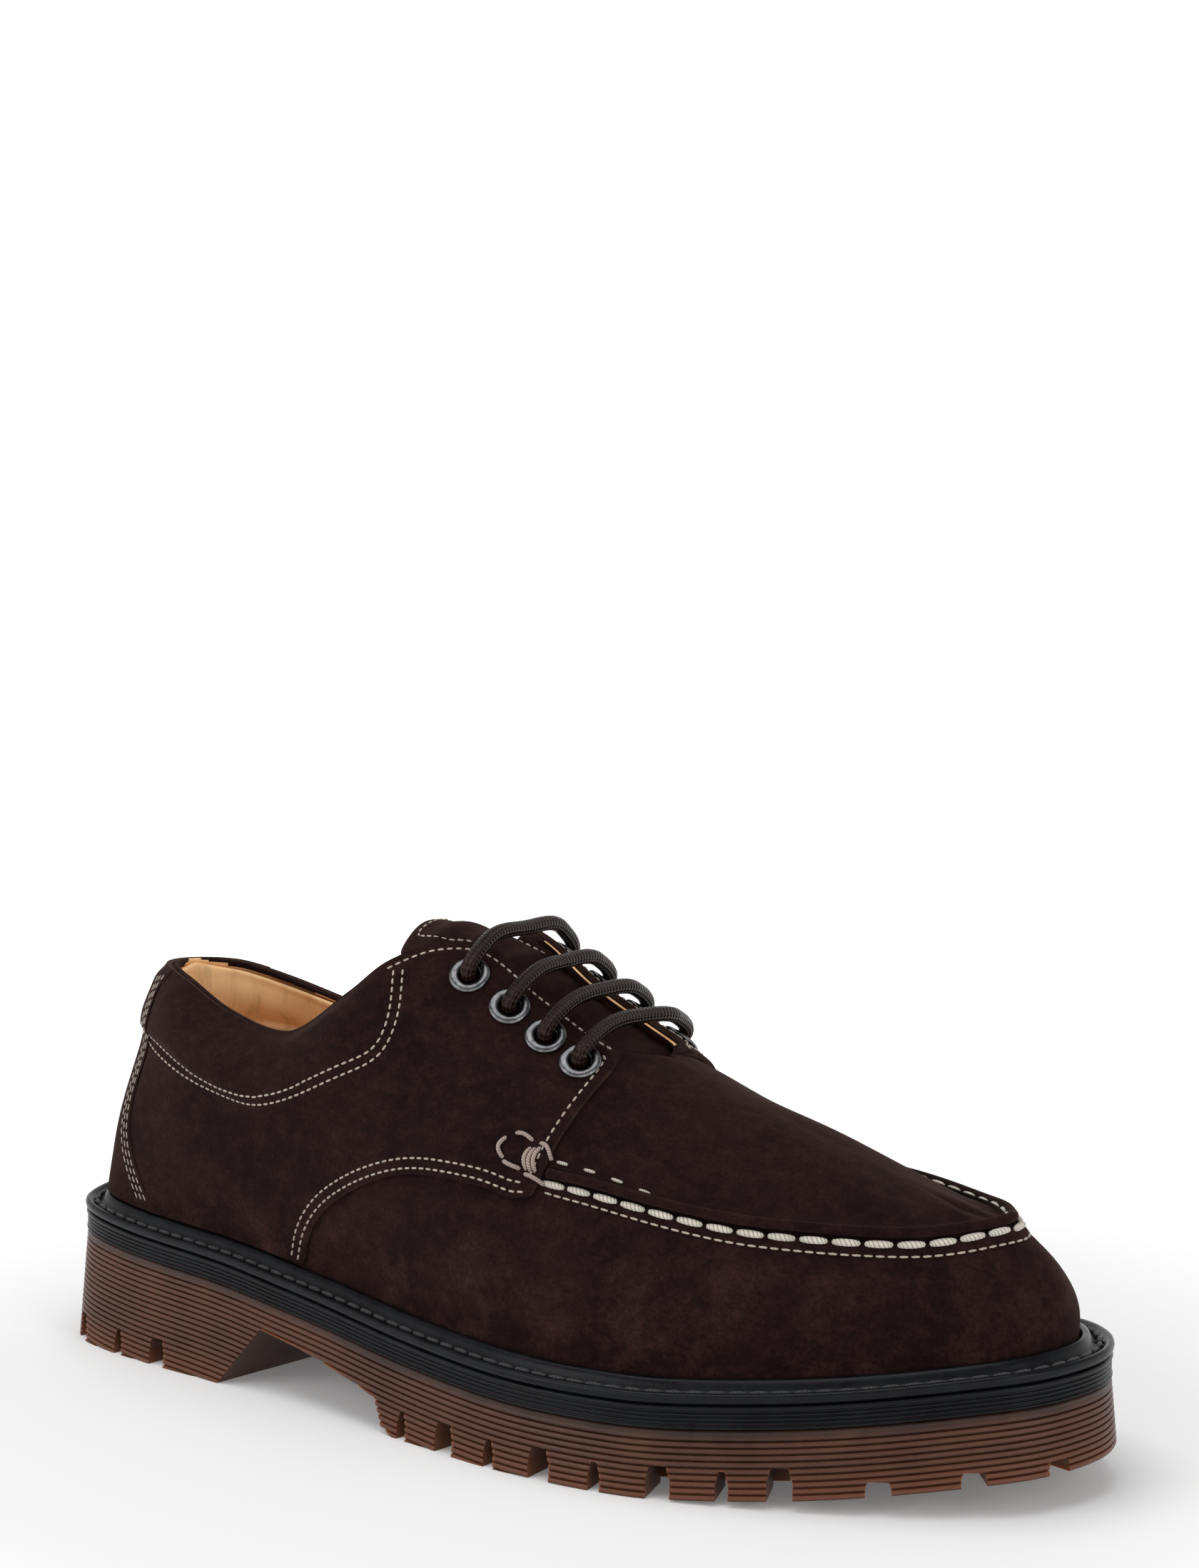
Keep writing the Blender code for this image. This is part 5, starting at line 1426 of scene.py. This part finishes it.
def metal_finish():
    """Blackened metal of the eyelets, rubbed brighter in places."""
    material, tree, shader, place = finish_material("eyelet_metal", Metallic=1.0)
    rub = noise(tree, place, 380, 5, 0.7)
    base = mixed(tree, scaled(tree, rub, 0.35, 0.75, 0.0, 1.0), *METAL)
    tree.links.new(base, shader.inputs["Base Color"])
    tree.links.new(scaled(tree, rub, 0.3, 0.7, 0.18, 0.34), shader.inputs["Roughness"])
    bumps(tree, shader, (noise(tree, place, 1600, 2, 0.5), 0.05, 0.00004))
    return material


def thread_finish(name, dark, light, twists):
    """Twisted thread: the strands wind round each stitch, with painted shade in the grooves between them."""
    material, tree, shader, place = finish_material(name, Roughness=0.62, Sheen_Weight=0.15)
    along = add(tree, "ShaderNodeUVMap", uv_map="thread_uv").outputs["UV"]
    parts = add(tree, "ShaderNodeSeparateXYZ", {"Vector": along}).outputs
    around = sums(tree, "MULTIPLY", parts[0], 2.0)
    wind = sums(tree, "ADD", sums(tree, "MULTIPLY", parts[1], twists), around)
    wave = sums(tree, "SINE", sums(tree, "MULTIPLY", wind, math.pi), 0.0)
    strand = sums(tree, "ABSOLUTE", wave, 0.0)
    fuzz = noise(tree, place, 2600, 3, 0.7)
    # Painted shade: the dark tone falls in the grooves between the strands, where their bump is low
    base = mixed(tree, scaled(tree, strand, 0.0, 0.6, 0.0, 1.0), dark, light)
    base = mixed(tree, scaled(tree, noise(tree, place, 160, 3), 0.4, 0.75, 0.0, 0.35), base, dark)
    tree.links.new(base, shader.inputs["Base Color"])
    bumps(tree, shader, (strand, 0.6, 0.0003), (fuzz, 0.3, 0.0001))
    return material


def lace_finish():
    """Dark waxed braid: two sets of plaits crossing round the cord, with a painted highlight on their crests
    and painted shade between them.
    """
    material, tree, shader, place = finish_material(
        "waxed_cord", Specular_IOR_Level=0.22, Specular_Tint=(1.0, 0.80, 0.70, 1)
    )
    along = add(tree, "ShaderNodeUVMap", uv_map="cord_uv").outputs["UV"]
    parts = add(tree, "ShaderNodeSeparateXYZ", {"Vector": along}).outputs
    plaits = []
    for way in (1, -1):
        around = sums(tree, "MULTIPLY", parts[0], 6.0 * way)
        wind = sums(tree, "ADD", sums(tree, "MULTIPLY", parts[1], 430.0), around)
        plaits.append(sums(tree, "SINE", sums(tree, "MULTIPLY", wind, 2 * math.pi), 0.0))
    braid = sums(tree, "MULTIPLY", plaits[0], plaits[1])
    # Painted highlight on the plaits' crests and painted shade between them
    base = mixed(tree, scaled(tree, braid, -0.6, 0.8, 0.0, 1.0), *WAXED_CORD)
    tree.links.new(base, shader.inputs["Base Color"])
    tree.links.new(scaled(tree, noise(tree, place, 420, 4), 0.3, 0.7, 0.20, 0.36), shader.inputs["Roughness"])
    bumps(tree, shader, (braid, 0.8, 0.00026), (noise(tree, place, 2200, 2), 0.2, 0.00006))
    return material


# Geometry Nodes trees
STITCH_SIZES = ("Spacing", "Length", "Width", "Height")


def new_tree(name, sizes):
    """A tree that takes a path, named sizes and a material: its ends and the identifiers of its sizes."""
    tree = bpy.data.node_groups.new(name, "GeometryNodeTree")
    sockets = tree.interface.new_socket
    sockets("Path", in_out="INPUT", socket_type="NodeSocketGeometry")
    named = {size: sockets(size, in_out="INPUT", socket_type="NodeSocketFloat").identifier for size in sizes}
    named["Finish"] = sockets("Finish", in_out="INPUT", socket_type="NodeSocketMaterial").identifier
    sockets("Result", in_out="OUTPUT", socket_type="NodeSocketGeometry")
    return tree, tree.nodes.new("NodeGroupInput"), tree.nodes.new("NodeGroupOutput"), named


def facing_turn(tree, tangent=None):
    """The turn that lays a piece on the surface: its Z along the kept normal, its X along the path."""
    align = "FunctionNodeAlignRotationToVector"
    kept_normal = add(tree, "GeometryNodeInputNamedAttribute", {"Name": "facing"}, data_type="FLOAT_VECTOR")
    facing = kept_normal.outputs["Attribute"]
    if tangent is None:
        return add(tree, align, {"Vector": facing}, axis="Z").outputs[0]
    along = add(tree, align, {"Vector": tangent}, axis="X").outputs[0]
    return add(tree, align, {"Rotation": along, "Vector": facing}, axis="Z", pivot_axis="X").outputs[0]


def placed(tree, points, piece, turn, finish, end):
    """Sets a piece on every point, makes it real and gives it its material."""
    inputs = {"Points": points, "Instance": piece, "Rotation": turn}
    many = add(tree, "GeometryNodeInstanceOnPoints", inputs).outputs[0]
    real = add(tree, "GeometryNodeRealizeInstances", {0: many}).outputs[0]
    clean = add(tree, "GeometryNodeSetMaterial", {"Geometry": real, "Material": finish}).outputs[0]
    tree.links.new(clean, end.inputs[0])


def halved(tree, size):
    """Half of a named size."""
    return sums(tree, "MULTIPLY", size, 0.5)


def stitch_tree():
    """Stitches at an even spacing along every path: round threads with blunt ends."""
    tree, start, end, named = new_tree("stitches", STITCH_SIZES)
    given = start.outputs
    line = add(tree, "GeometryNodeMeshToCurve", {"Mesh": given["Path"]}).outputs[0]
    even = add(tree, "GeometryNodeResampleCurve", {"Curve": line, "Length": given["Spacing"]}, mode="LENGTH")
    ball = add(tree, "GeometryNodeMeshUVSphere", {"Segments": 8, "Rings": 7, "Radius": 1.0})
    marked = add(
        tree,
        "GeometryNodeStoreNamedAttribute",
        {"Geometry": ball.outputs["Mesh"], "Name": "thread_uv", "Value": ball.outputs["UV Map"]},
        data_type="FLOAT2",
        domain="CORNER",
    ).outputs[0]
    axes = add(tree, "ShaderNodeSeparateXYZ", {0: add(tree, "GeometryNodeInputPosition").outputs[0]}).outputs
    left = sums(tree, "SUBTRACT", 1.0, sums(tree, "MULTIPLY", axes[2], axes[2]))
    blunt = sums(tree, "POWER", sums(tree, "MAXIMUM", left, 1e-4), -0.22)
    length = sums(tree, "MULTIPLY", axes[2], halved(tree, given["Length"]))
    wide = sums(tree, "MULTIPLY", sums(tree, "MULTIPLY", axes[0], blunt), halved(tree, given["Width"]))
    high = sums(tree, "MULTIPLY", sums(tree, "MULTIPLY", axes[1], blunt), halved(tree, given["Height"]))
    shape = add(tree, "ShaderNodeCombineXYZ", {0: length, 1: wide, 2: high}).outputs[0]
    stitch = add(tree, "GeometryNodeSetPosition", {"Geometry": marked, "Position": shape}).outputs[0]
    soft = add(tree, "GeometryNodeSetShadeSmooth", {"Geometry": stitch}).outputs[0]
    turn = facing_turn(tree, add(tree, "GeometryNodeInputTangent").outputs[0])
    placed(tree, even.outputs[0], soft, turn, given["Finish"], end)
    return tree, named


def ring_tree():
    """A flanged ring with its barrel on every point."""
    sizes = ("Rim radius", "Flange width", "Flange height", "Bore radius", "Barrel depth")
    tree, start, end, named = new_tree("eyelets", sizes)
    given = start.outputs
    circle = "GeometryNodeCurvePrimitiveCircle"
    middle = add(tree, circle, {"Resolution": 40, "Radius": given["Rim radius"]}, mode="RADIUS").outputs[0]
    section = add(tree, circle, {"Resolution": 14, "Radius": 0.5}, mode="RADIUS").outputs[0]
    size = {0: given["Flange width"], 1: given["Flange height"], 2: 1.0}
    scale = add(tree, "ShaderNodeCombineXYZ", size).outputs[0]
    oval = add(tree, "GeometryNodeTransform", {"Geometry": section, "Scale": scale}).outputs[0]
    flange = add(tree, "GeometryNodeCurveToMesh", {"Curve": middle, "Profile Curve": oval}).outputs[0]
    depth = given["Barrel depth"]
    barrel = add(
        tree,
        "GeometryNodeMeshCylinder",
        {"Vertices": 40, "Side Segments": 3, "Radius": given["Bore radius"], "Depth": depth},
        fill_type="NONE",
    ).outputs[0]
    drop = add(tree, "ShaderNodeCombineXYZ", {2: sums(tree, "MULTIPLY", depth, -0.45)}).outputs[0]
    sunk = add(tree, "GeometryNodeTransform", {"Geometry": barrel, "Translation": drop}).outputs[0]
    both = tree.nodes.new("GeometryNodeJoinGeometry")
    for part in (flange, sunk):
        tree.links.new(part, both.inputs[0])
    soft = add(tree, "GeometryNodeSetShadeSmooth", {"Geometry": both.outputs[0]}).outputs[0]
    placed(tree, given["Path"], soft, facing_turn(tree), given["Finish"], end)
    return tree, named


def along_paths(name, paths, made_tree, sizes, finish):
    """Runs a tree over paths of (points, normals) and keeps the result as a plain mesh piece."""
    tree, named = made_tree
    points = np.vstack([path[0] for path in paths])
    edges = []
    first = 0
    for path in paths:
        edges += [(first + k, first + k + 1) for k in range(len(path[0]) - 1)]
        first += len(path[0])
    mesh = bpy.data.meshes.new(name)
    mesh.from_pydata(points.tolist(), edges, [])
    normals = np.vstack([path[1] for path in paths]).astype(np.float32)
    mesh.attributes.new("facing", "FLOAT_VECTOR", "POINT").data.foreach_set("vector", normals.ravel())
    piece = bpy.data.objects.new(name, mesh)
    bpy.context.scene.collection.objects.link(piece)
    modifier = piece.modifiers.new(name, "NODES")
    modifier.node_group = tree
    for size, value in sizes.items():
        modifier[named[size]] = value
    modifier[named["Finish"]] = finish
    bpy.context.view_layer.update()
    made = bpy.data.meshes.new_from_object(piece.evaluated_get(bpy.context.evaluated_depsgraph_get()))
    piece.modifiers.clear()
    piece.data = made
    if "facing" in made.attributes:
        made.attributes.remove(made.attributes["facing"])
    return piece


# Paths on the leather
def panel_skin():
    """The outer face of the panels as a tree for finding points."""
    rows = 110
    ways = np.arange(NET_COLUMNS) * 2 / NET_COLUMNS
    grid = np.array([leather(way, np.linspace(0.02, 2, rows), GAP + PANEL)[0] for way in ways])
    return BVHTree.FromPolygons(grid.reshape(-1, 3).tolist(), grid_faces(len(ways), rows, wrap=True).tolist())


PANEL_SKIN = panel_skin()


def side_path(side, table, lean=0.0, steps=80):
    """A side-view table laid on the panels of one side, with the normals there."""
    line = []
    for share, high in table:
        x = (share - 0.5) * LENGTH
        line.append((x + lean * high * LENGTH, height_above_bead(x, high)))
    knots = lengths_along(np.array(line))
    line = natural_spline(knots, line)(np.linspace(0, knots[-1], steps))
    way = 1.0 if side == "lateral" else -1.0
    found = [PANEL_SKIN.ray_cast((x, -CLEAR * way, z), (0, way, 0))[:2] for x, z in line]
    return as_path([hit for hit in found if hit[0] is not None and hit[0].y * way < 0])


def as_path(found):
    """Found points and normals as arrays."""
    return np.array([tuple(hit[0]) for hit in found]), np.array([tuple(hit[1]) for hit in found])


def beside(path, distance, trim=(0, 0)):
    """A path moved sideways over the leather, to the left of its way as seen from outside."""
    points, normals = path
    along = unit(np.gradient(points, axis=0))
    moved = points + np.cross(normals, along) * distance
    places, facing = as_path([PANEL_SKIN.find_nearest(tuple(p))[:2] for p in moved])
    last = len(places) - trim[1]
    return places[trim[0] : last], facing[trim[0] : last]


def lifted(path, distance):
    """A path raised off the leather."""
    return path[0] + path[1] * distance, path[1]


def seam_path(start, end, away, out=0.0, steps=240):
    """A path beside the moc seam, away metres towards the vamp."""
    ways = np.linspace(start, end, steps)
    scale = off_net(NET_ABOVE, ways, 0) if away > 0 else off_net(NET_BELOW, ways, 0)
    return leather(ways, 1 + away / scale, out)


def top_path(start, end, down, out, steps=120):
    """A path below the topline or the facing's inner edge."""
    ways = np.linspace(start, end, steps)
    return leather(ways, 2 - down / span_above(ways), out)


# Tables of the stitch lines in side view: share of LENGTH, height as a share of INSTEP_RISE
COLLAR_ROW = (
    (0.110, 0.552),
    (0.1751, 0.499),
    (0.2496, 0.471),
    (0.2815, 0.481),
    (0.3422, 0.565),
    (0.3874, 0.652),
    (0.4161, 0.727),
    (0.4229, 0.811),
    (0.4151, 0.944),
)
# The heavy stitches that hold the quarter's corner: ends of each bar in the same shares
CORNER_BARS = (
    ((0.5515, 0.517), (0.5455, 0.545), (0.5490, 0.575)),
    ((0.5550, 0.585), (0.5635, 0.582), (0.5720, 0.570)),
    ((0.5510, 0.513), (0.5590, 0.503), (0.5680, 0.498)),
    ((0.5715, 0.556), (0.5695, 0.525), (0.5735, 0.495)),
    ((0.5755, 0.556), (0.5735, 0.525), (0.5775, 0.492)),
    ((0.5795, 0.560), (0.5775, 0.528), (0.5815, 0.492)),
    ((0.5775, 0.568), (0.5865, 0.556), (0.591, 0.532)),
    ((0.5715, 0.488), (0.581, 0.480), (0.5905, 0.470)),
)


def fine_stitch_paths():
    """Every row of fine pale thread on the panels."""
    paths = []
    for side, way, lean in (("lateral", 1, 0.0), ("medial", -1, MEDIAL_LEAN)):
        collar = side_path(side, COLLAR_ROW)
        paths += [collar, beside(collar, COLLAR_ROW_GAP * way)]
        edge = side_path(side, WING_EDGE)
        for distance, skipped in WING_ROWS:
            paths.append(beside(edge, distance * way, (1, skipped)))
        paths.append(beside(side_path(side, FACING_EDGE, lean), FACING_ROW * way, (2, 1)))
    for start, end in TOP_SPANS:
        for ways in ((start, end), (2 - end, 2 - start)):
            paths.append(top_path(*ways, TOP_ROW, GAP + PANEL))
    return paths


def strap_paths():
    """Three rows along the heel strap's edge, with their stitches out of step."""
    paths = []
    for side, way in (("lateral", 1), ("medial", -1)):
        strap = side_path(side, BACKSTAY_EDGE[1:])
        for distance, skipped in STRAP_ROWS:
            paths.append(lifted(beside(strap, distance * way, (skipped, 2)), BACKSTAY_PANEL - PANEL))
    return paths


def inner_seam_path(start, end):
    """Where the heavy thread comes up again inside the apron's roll, further in at the corners."""
    ways = np.linspace(start, end, 240)
    share = np.abs((ways + 1) % 2 - 1)
    away = 0.0032 + 0.0026 * (1 - fade(share, 0.58, 0.72))
    return leather(ways, 1 + away / span_above(ways), -0.0002)


def corner_bars():
    """Knots of each heavy bar at the quarters' front corners, bowed off the leather."""
    bow = np.array([-0.0009, 0.0002, 0.00075, 0.0009, 0.00075, 0.0002, -0.0009])
    bars = []
    for side in ("lateral", "medial"):
        for bar in CORNER_BARS:
            points, normals = side_path(side, bar, steps=len(bow))
            bars.append(points + normals * bow[:, None])
    return bars


def tongue_edge_path(face):
    """A row of stitches just inside the tongue's edge: along one side, across the end and back."""
    rows, columns = face.shape[:2]
    first, last = int(0.66 * rows), rows - 6
    back = np.arange(first, last)
    flare = fade((back - first) / (last - first), 0.0, 0.8)
    inset = np.round(9 + 7 * (1 - flare)).astype(int)
    across = np.arange(inset[-1] + 1, columns - inset[-1] - 1)
    near, far = face[back, inset], face[back[::-1], columns - 1 - inset[::-1]]
    line = np.vstack([near, face[last - 1, across], far])
    knots = lengths_along(line)[::6]
    line = natural_spline(knots, line[::6])(np.linspace(0, knots[-1], 160))
    return line, np.tile((-0.2, -0.3, 0.93), (len(line), 1))


def welt_thread_path():
    """The row of stitches in the welt's channel, once round."""
    edge, out = fine_ring(RING_STEPS)
    place = edge - out * THREAD_INSET
    line = np.column_stack([place, welt_top(place[:, 0]) - THREAD_DEPTH])
    line = np.vstack([line, line[:1]])
    return line, np.tile((0.0, 0.0, 1.0), (len(line), 1))


# The lace
def lace_knots():
    """The lace's way: four bars, the runs under the facings between them and the hidden end."""
    radius = LACE_DIAMETER / 2
    under = -(WALL + PANEL + GAP + radius + LACE_CLEARANCE)
    over = radius + GAP + EYELET_LIP + LACE_CLEARANCE
    mouth = -0.001
    knots = []
    for number in range(EYELET_COUNT):
        order = ("lateral", "medial") if number % 2 == 0 else ("medial", "lateral")
        ends = [eyelet_frame(side, number) for side in order]
        centre, axis, _ = ends[0]
        knots += [centre + axis * under, centre + axis * mouth, centre + axis * over * 0.7]
        bar = []
        for side, (_, _, way) in zip(order, ends):
            above = span_above(way)
            line = [leather(way, 2 - away / above, GAP + PANEL + over)[0] for away in (0.0085, 0.0045, 0.001)]
            bar += line if side == order[0] else line[::-1]
        bar.insert(3, (bar[2] + bar[3]) / 2 + np.array([0.0, 0.0, LACE_ARCH]))
        knots += bar
        centre, axis, _ = ends[1]
        knots += [centre + axis * over * 0.7, centre + axis * mouth, centre + axis * under]
    last = EYELET_STATIONS[-1]
    for way in (last - 0.012, last - 0.05, EYELET_STATIONS[0] + 0.015):
        v = 2 - (EYELET_EDGE + LACE_ASIDE) / span_above(way)
        knots.append(leather(way, v, -(WALL + radius + LACE_CLEARANCE))[0])
    return np.array(knots)


def cord_mesh(knots, radius, steps, around):
    """Points, faces and (length, way round) marks of one round cord through the knots."""
    reach = lengths_along(knots)
    fine = natural_spline(reach, knots)(np.linspace(0, reach[-1], 4 * steps))
    spread = lengths_along(fine)
    places = np.linspace(0, spread[-1], steps)
    path = np.column_stack([np.interp(places, spread, fine[:, k]) for k in range(3)])
    along = unit(np.gradient(path, axis=0))
    side = np.zeros_like(path)
    side[0] = unit(np.cross(along[0], (0.3, 0.5, 0.8)))
    for k in range(1, steps):
        carried = side[k - 1] - along[k] * np.dot(side[k - 1], along[k])
        side[k] = carried / np.linalg.norm(carried)
    other = np.cross(along, side)
    turns = np.linspace(0, 2 * math.pi, around, endpoint=False)
    ring = np.cos(turns)[None, :, None] * side[:, None] + np.sin(turns)[None, :, None] * other[:, None]
    points = (path[:, None] + radius * ring).reshape(-1, 3)
    faces = []
    marks = []
    for k in range(steps - 1):
        for r in range(around):
            n = (r + 1) % around
            faces.append((k * around + r, k * around + n, (k + 1) * around + n, (k + 1) * around + r))
            low, high = r / around, (r + 1) / around
            marks += [(places[k], low), (places[k], high), (places[k + 1], high), (places[k + 1], low)]
    faces += [tuple(range(around))[::-1], tuple(range((steps - 1) * around, steps * around))]
    marks += [(0.0, 0.0)] * (2 * around)
    return points, faces, marks


def cord_piece(name, routes, size, material, uv_name):
    """Round cords as one piece. Its UV map keeps the way round and the length, counted in turns."""
    radius, pitch, steps, around = size
    points, faces, marks = [], [], []
    for knots in routes:
        places, quads, uvs = cord_mesh(np.asarray(knots), radius, steps, around)
        faces += [tuple(k + len(points) for k in quad) for quad in quads]
        points += places.tolist()
        marks += [(round_it, length / pitch) for length, round_it in uvs]
    mesh = bpy.data.meshes.new(name)
    mesh.from_pydata(points, [], faces)
    mesh.uv_layers.new(name=uv_name).data.foreach_set("uv", np.array(marks, np.float32).ravel())
    mesh.polygons.foreach_set("use_smooth", [True] * len(mesh.polygons))
    mesh.materials.append(material)
    piece = bpy.data.objects.new(name, mesh)
    bpy.context.scene.collection.objects.link(piece)
    return piece


# Making the scene
def make_floor():
    """A plain pale floor that brightens away from the shoe, so that only a soft contact shadow is left."""
    material, tree, shader, place = finish_material(
        "floor", Roughness=0.9, Specular_IOR_Level=0.1, Emission_Color=(1, 1, 1, 1)
    )
    tone = ramp(tree, noise(tree, place, 3, 2), (0.3, 0.90), (0.7, 0.915))
    tree.links.new(tone, shader.inputs["Base Color"])
    away = add(tree, "ShaderNodeVectorMath", {0: place}, operation="LENGTH").outputs["Value"]
    tree.links.new(scaled(tree, away, 0.16, 0.9, 0.10, 0.95), shader.inputs["Emission Strength"])
    side = 6
    corners = [(-side, -side, 0), (side, -side, 0), (side, side, 0), (-side, side, 0)]
    new_piece("floor", corners, [(0, 1, 2, 3)], material, outwards=False)


def soft_light(name, place, target, size, power):
    """A large soft lamp aimed at a point."""
    lamp = bpy.data.lights.new(name, "AREA")
    lamp.shape = "RECTANGLE"
    lamp.size, lamp.size_y = size
    lamp.energy = power
    holder = bpy.data.objects.new(name, lamp)
    holder.location = place
    holder.rotation_euler = (Vector(place) - Vector(target)).to_track_quat("Z", "Y").to_euler()
    bpy.context.scene.collection.objects.link(holder)


def make_studio():
    """White surround, darker overhead, and three soft lamps."""
    world = bpy.data.worlds.new("studio")
    bpy.context.scene.world = world
    world.use_nodes = True
    tree = world.node_tree
    generated = add(tree, "ShaderNodeTexCoord").outputs["Generated"]
    height = add(tree, "ShaderNodeSeparateXYZ", {0: generated}).outputs[2]
    shade = ramp(tree, height, (0.30, 1.0), (0.62, 0.28))
    tree.links.new(shade, tree.nodes["Background"].inputs["Color"])
    tree.nodes["Background"].inputs["Strength"].default_value = 1.05
    soft_light("overhead", (-0.1, -0.15, 1.3), (0, 0, 0.05), (1.2, 1.0), 8)
    soft_light("front", (-0.7, -1.3, 0.8), (0, 0, 0.06), (0.9, 0.9), 5)
    soft_light("toe_side", (1.4, -0.4, 0.6), (0.05, 0, 0.05), (0.6, 0.9), 3)


def make_camera():
    """The photograph's own view."""
    turn, dip = math.radians(CAMERA_TURN), math.radians(CAMERA_DIP)
    back = Vector((math.sin(turn) * math.cos(dip), -math.cos(turn) * math.cos(dip), math.sin(dip)))
    camera = bpy.data.cameras.new("camera")
    camera.lens = CAMERA_LENS
    camera.sensor_width = 36
    holder = bpy.data.objects.new("camera", camera)
    holder.location = CAMERA_PLACE
    holder.rotation_euler = back.to_track_quat("Z", "Y").to_euler()
    bpy.context.scene.collection.objects.link(holder)
    bpy.context.scene.camera = holder


def dress_upper(suede, lining, pale):
    """The leathers, the lining and the tongue with its own row of stitches."""
    edge = suede_finish("raw_suede_edge", *RAW_EDGE)
    finished(upper_leather(suede, lining), "upper", slot="suede")
    for side in ("lateral", "medial"):
        finished(raw_edges(quarter_panel(side, suede), edge), "quarter_" + side, slot="suede")
    finished(raw_edges(heel_strap(suede), edge), "backstay", slot="suede")
    tongue, tongue_face = tongue_leather(suede)
    finished(tongue, "tongue", slot="suede")
    pad = finished(collar_pad(lining), "collar_lining", slot="lining")
    stitched("tongue_stitches", [tongue_edge_path(tongue_face)], PANEL_STITCH, pale)
    throat = leather(np.linspace(1.430, 1.548, 40), 2.0, -0.4 * WALL)[0]
    throat = cord_piece("throat_edge", [throat], THROAT_CORD, lining, "cord_uv")
    finished(throat, slot="lining")
    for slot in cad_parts["insole"].material_slots:
        slot.material = lining


def dress_sole():
    """The gum sole, the dark band and the stitched welt."""
    black = black_rubber()
    finished(gum_sole(gum_finish()), "outsole", slot="gum")
    finished(rubber_band(black), "midsole", slot="welt_rubber")
    finished(stitched_welt(black), "welt", slot="welt_rubber")
    thread = thread_finish("welt_thread", *WELT_THREAD, 5.0)
    stitched("welt_stitches", [welt_thread_path()], WELT_STITCH, thread)


def dress_eyelets_and_lace():
    """Eight flanged rings and the lace through them."""
    places = [(side, number) for side in ("lateral", "medial") for number in range(EYELET_COUNT)]
    eyes = []
    for side, number in places:
        place, axis, _ = eyelet_frame(side, number)
        eyes.append((np.array([place + axis * (GAP + 0.0002)]), np.array([axis])))
    bore = EYELET_BORE / 2
    rim = EYELET_FLANGE / 2
    sizes = {
        "Rim radius": (bore + rim) / 2,
        "Flange width": rim - bore,
        "Flange height": 0.0016,
        "Bore radius": bore + 0.0001,
        "Barrel depth": EYELET_DEPTH,
    }
    nodes = [f"eyelet_{side}_{number + 1}" for side, number in places]
    finished(along_paths("eyelet_rings", eyes, ring_tree(), sizes, metal_finish()), *nodes, slot="eyelet")
    lace = cord_piece("waxed_lace", [lace_knots()], LACE_CORD, lace_finish(), "cord_uv")
    finished(lace, "lace", slot="lace")


def stitched(name, paths, size, finish):
    """Rows of stitches as a finished piece."""
    finished(along_paths(name, paths, STITCH_TREE, dict(zip(STITCH_SIZES, size)), finish))


def roll_line(away, out):
    """A line of the apron's rolled edge, from corner to corner round the toe."""
    return seam_path(ROLL_START, 2 - ROLL_START, away, out, steps=200)[0]


def dress_seams(suede, pale):
    """The fine rows, the moc seam's rolled edge with its heavy thread and the near-black fold cords beside it
    that paint the seam's shade, and the corner bars.
    """
    heavy = thread_finish("heavy_thread", *HEAVY_THREAD, 9.0)
    corner = thread_finish("corner_thread", *CORNER_THREAD, 6.0)
    # The fold cords take near-black suede, painted shade along the seam's creases
    fold_shade = suede_finish("apron_fold_shade", *FOLD_SHADE)
    finished(cord_piece("corner_stitches", corner_bars(), CORNER_CORD, corner, "thread_uv"))
    stitched("panel_stitches", fine_stitch_paths(), PANEL_STITCH, pale)
    stitched("strap_stitches", strap_paths(), STRAP_STITCH, pale)
    fine_row = seam_path(MOC_ROW_START, 2 - MOC_ROW_START, APRON_ROW, 0.0001)
    stitched("apron_stitches", [fine_row], APRON_STITCH, pale)
    finished(cord_piece("apron_roll", [roll_line(*ROLL_PLACE)], ROLL_CORD, suede, "cord_uv"))
    folds = [roll_line(*place) for place in FOLD_PLACES]
    finished(cord_piece("apron_fold_shade_cords", folds, FOLD_CORD, fold_shade, "thread_uv"))
    start = MOC_ROW_START + 0.002
    toe, past_toe = 1.02, 1.035
    stitched("moc_stitches", [seam_path(start, 2 - start, 0.0001, 0.0003)], MOC_STITCH, heavy)
    stitched("apron_thread", [inner_seam_path(start, toe)], RETURN_STITCH, heavy)
    stitched("apron_thread_inner_side", [inner_seam_path(past_toe, 2 - start)], LONG_RETURN_STITCH, heavy)


def make_shoe():
    """Every piece of the shoe."""
    suede = suede_finish("suede", *SUEDE)
    pale = thread_finish("pale_thread", *PALE_THREAD, 3.0)
    dress_upper(suede, lining_finish(), pale)
    dress_sole()
    dress_eyelets_and_lace()
    dress_seams(suede, pale)


STITCH_TREE = stitch_tree()

make_camera()
make_studio()
make_floor()
make_shoe()
bpy.context.scene.view_settings.view_transform = "Standard"
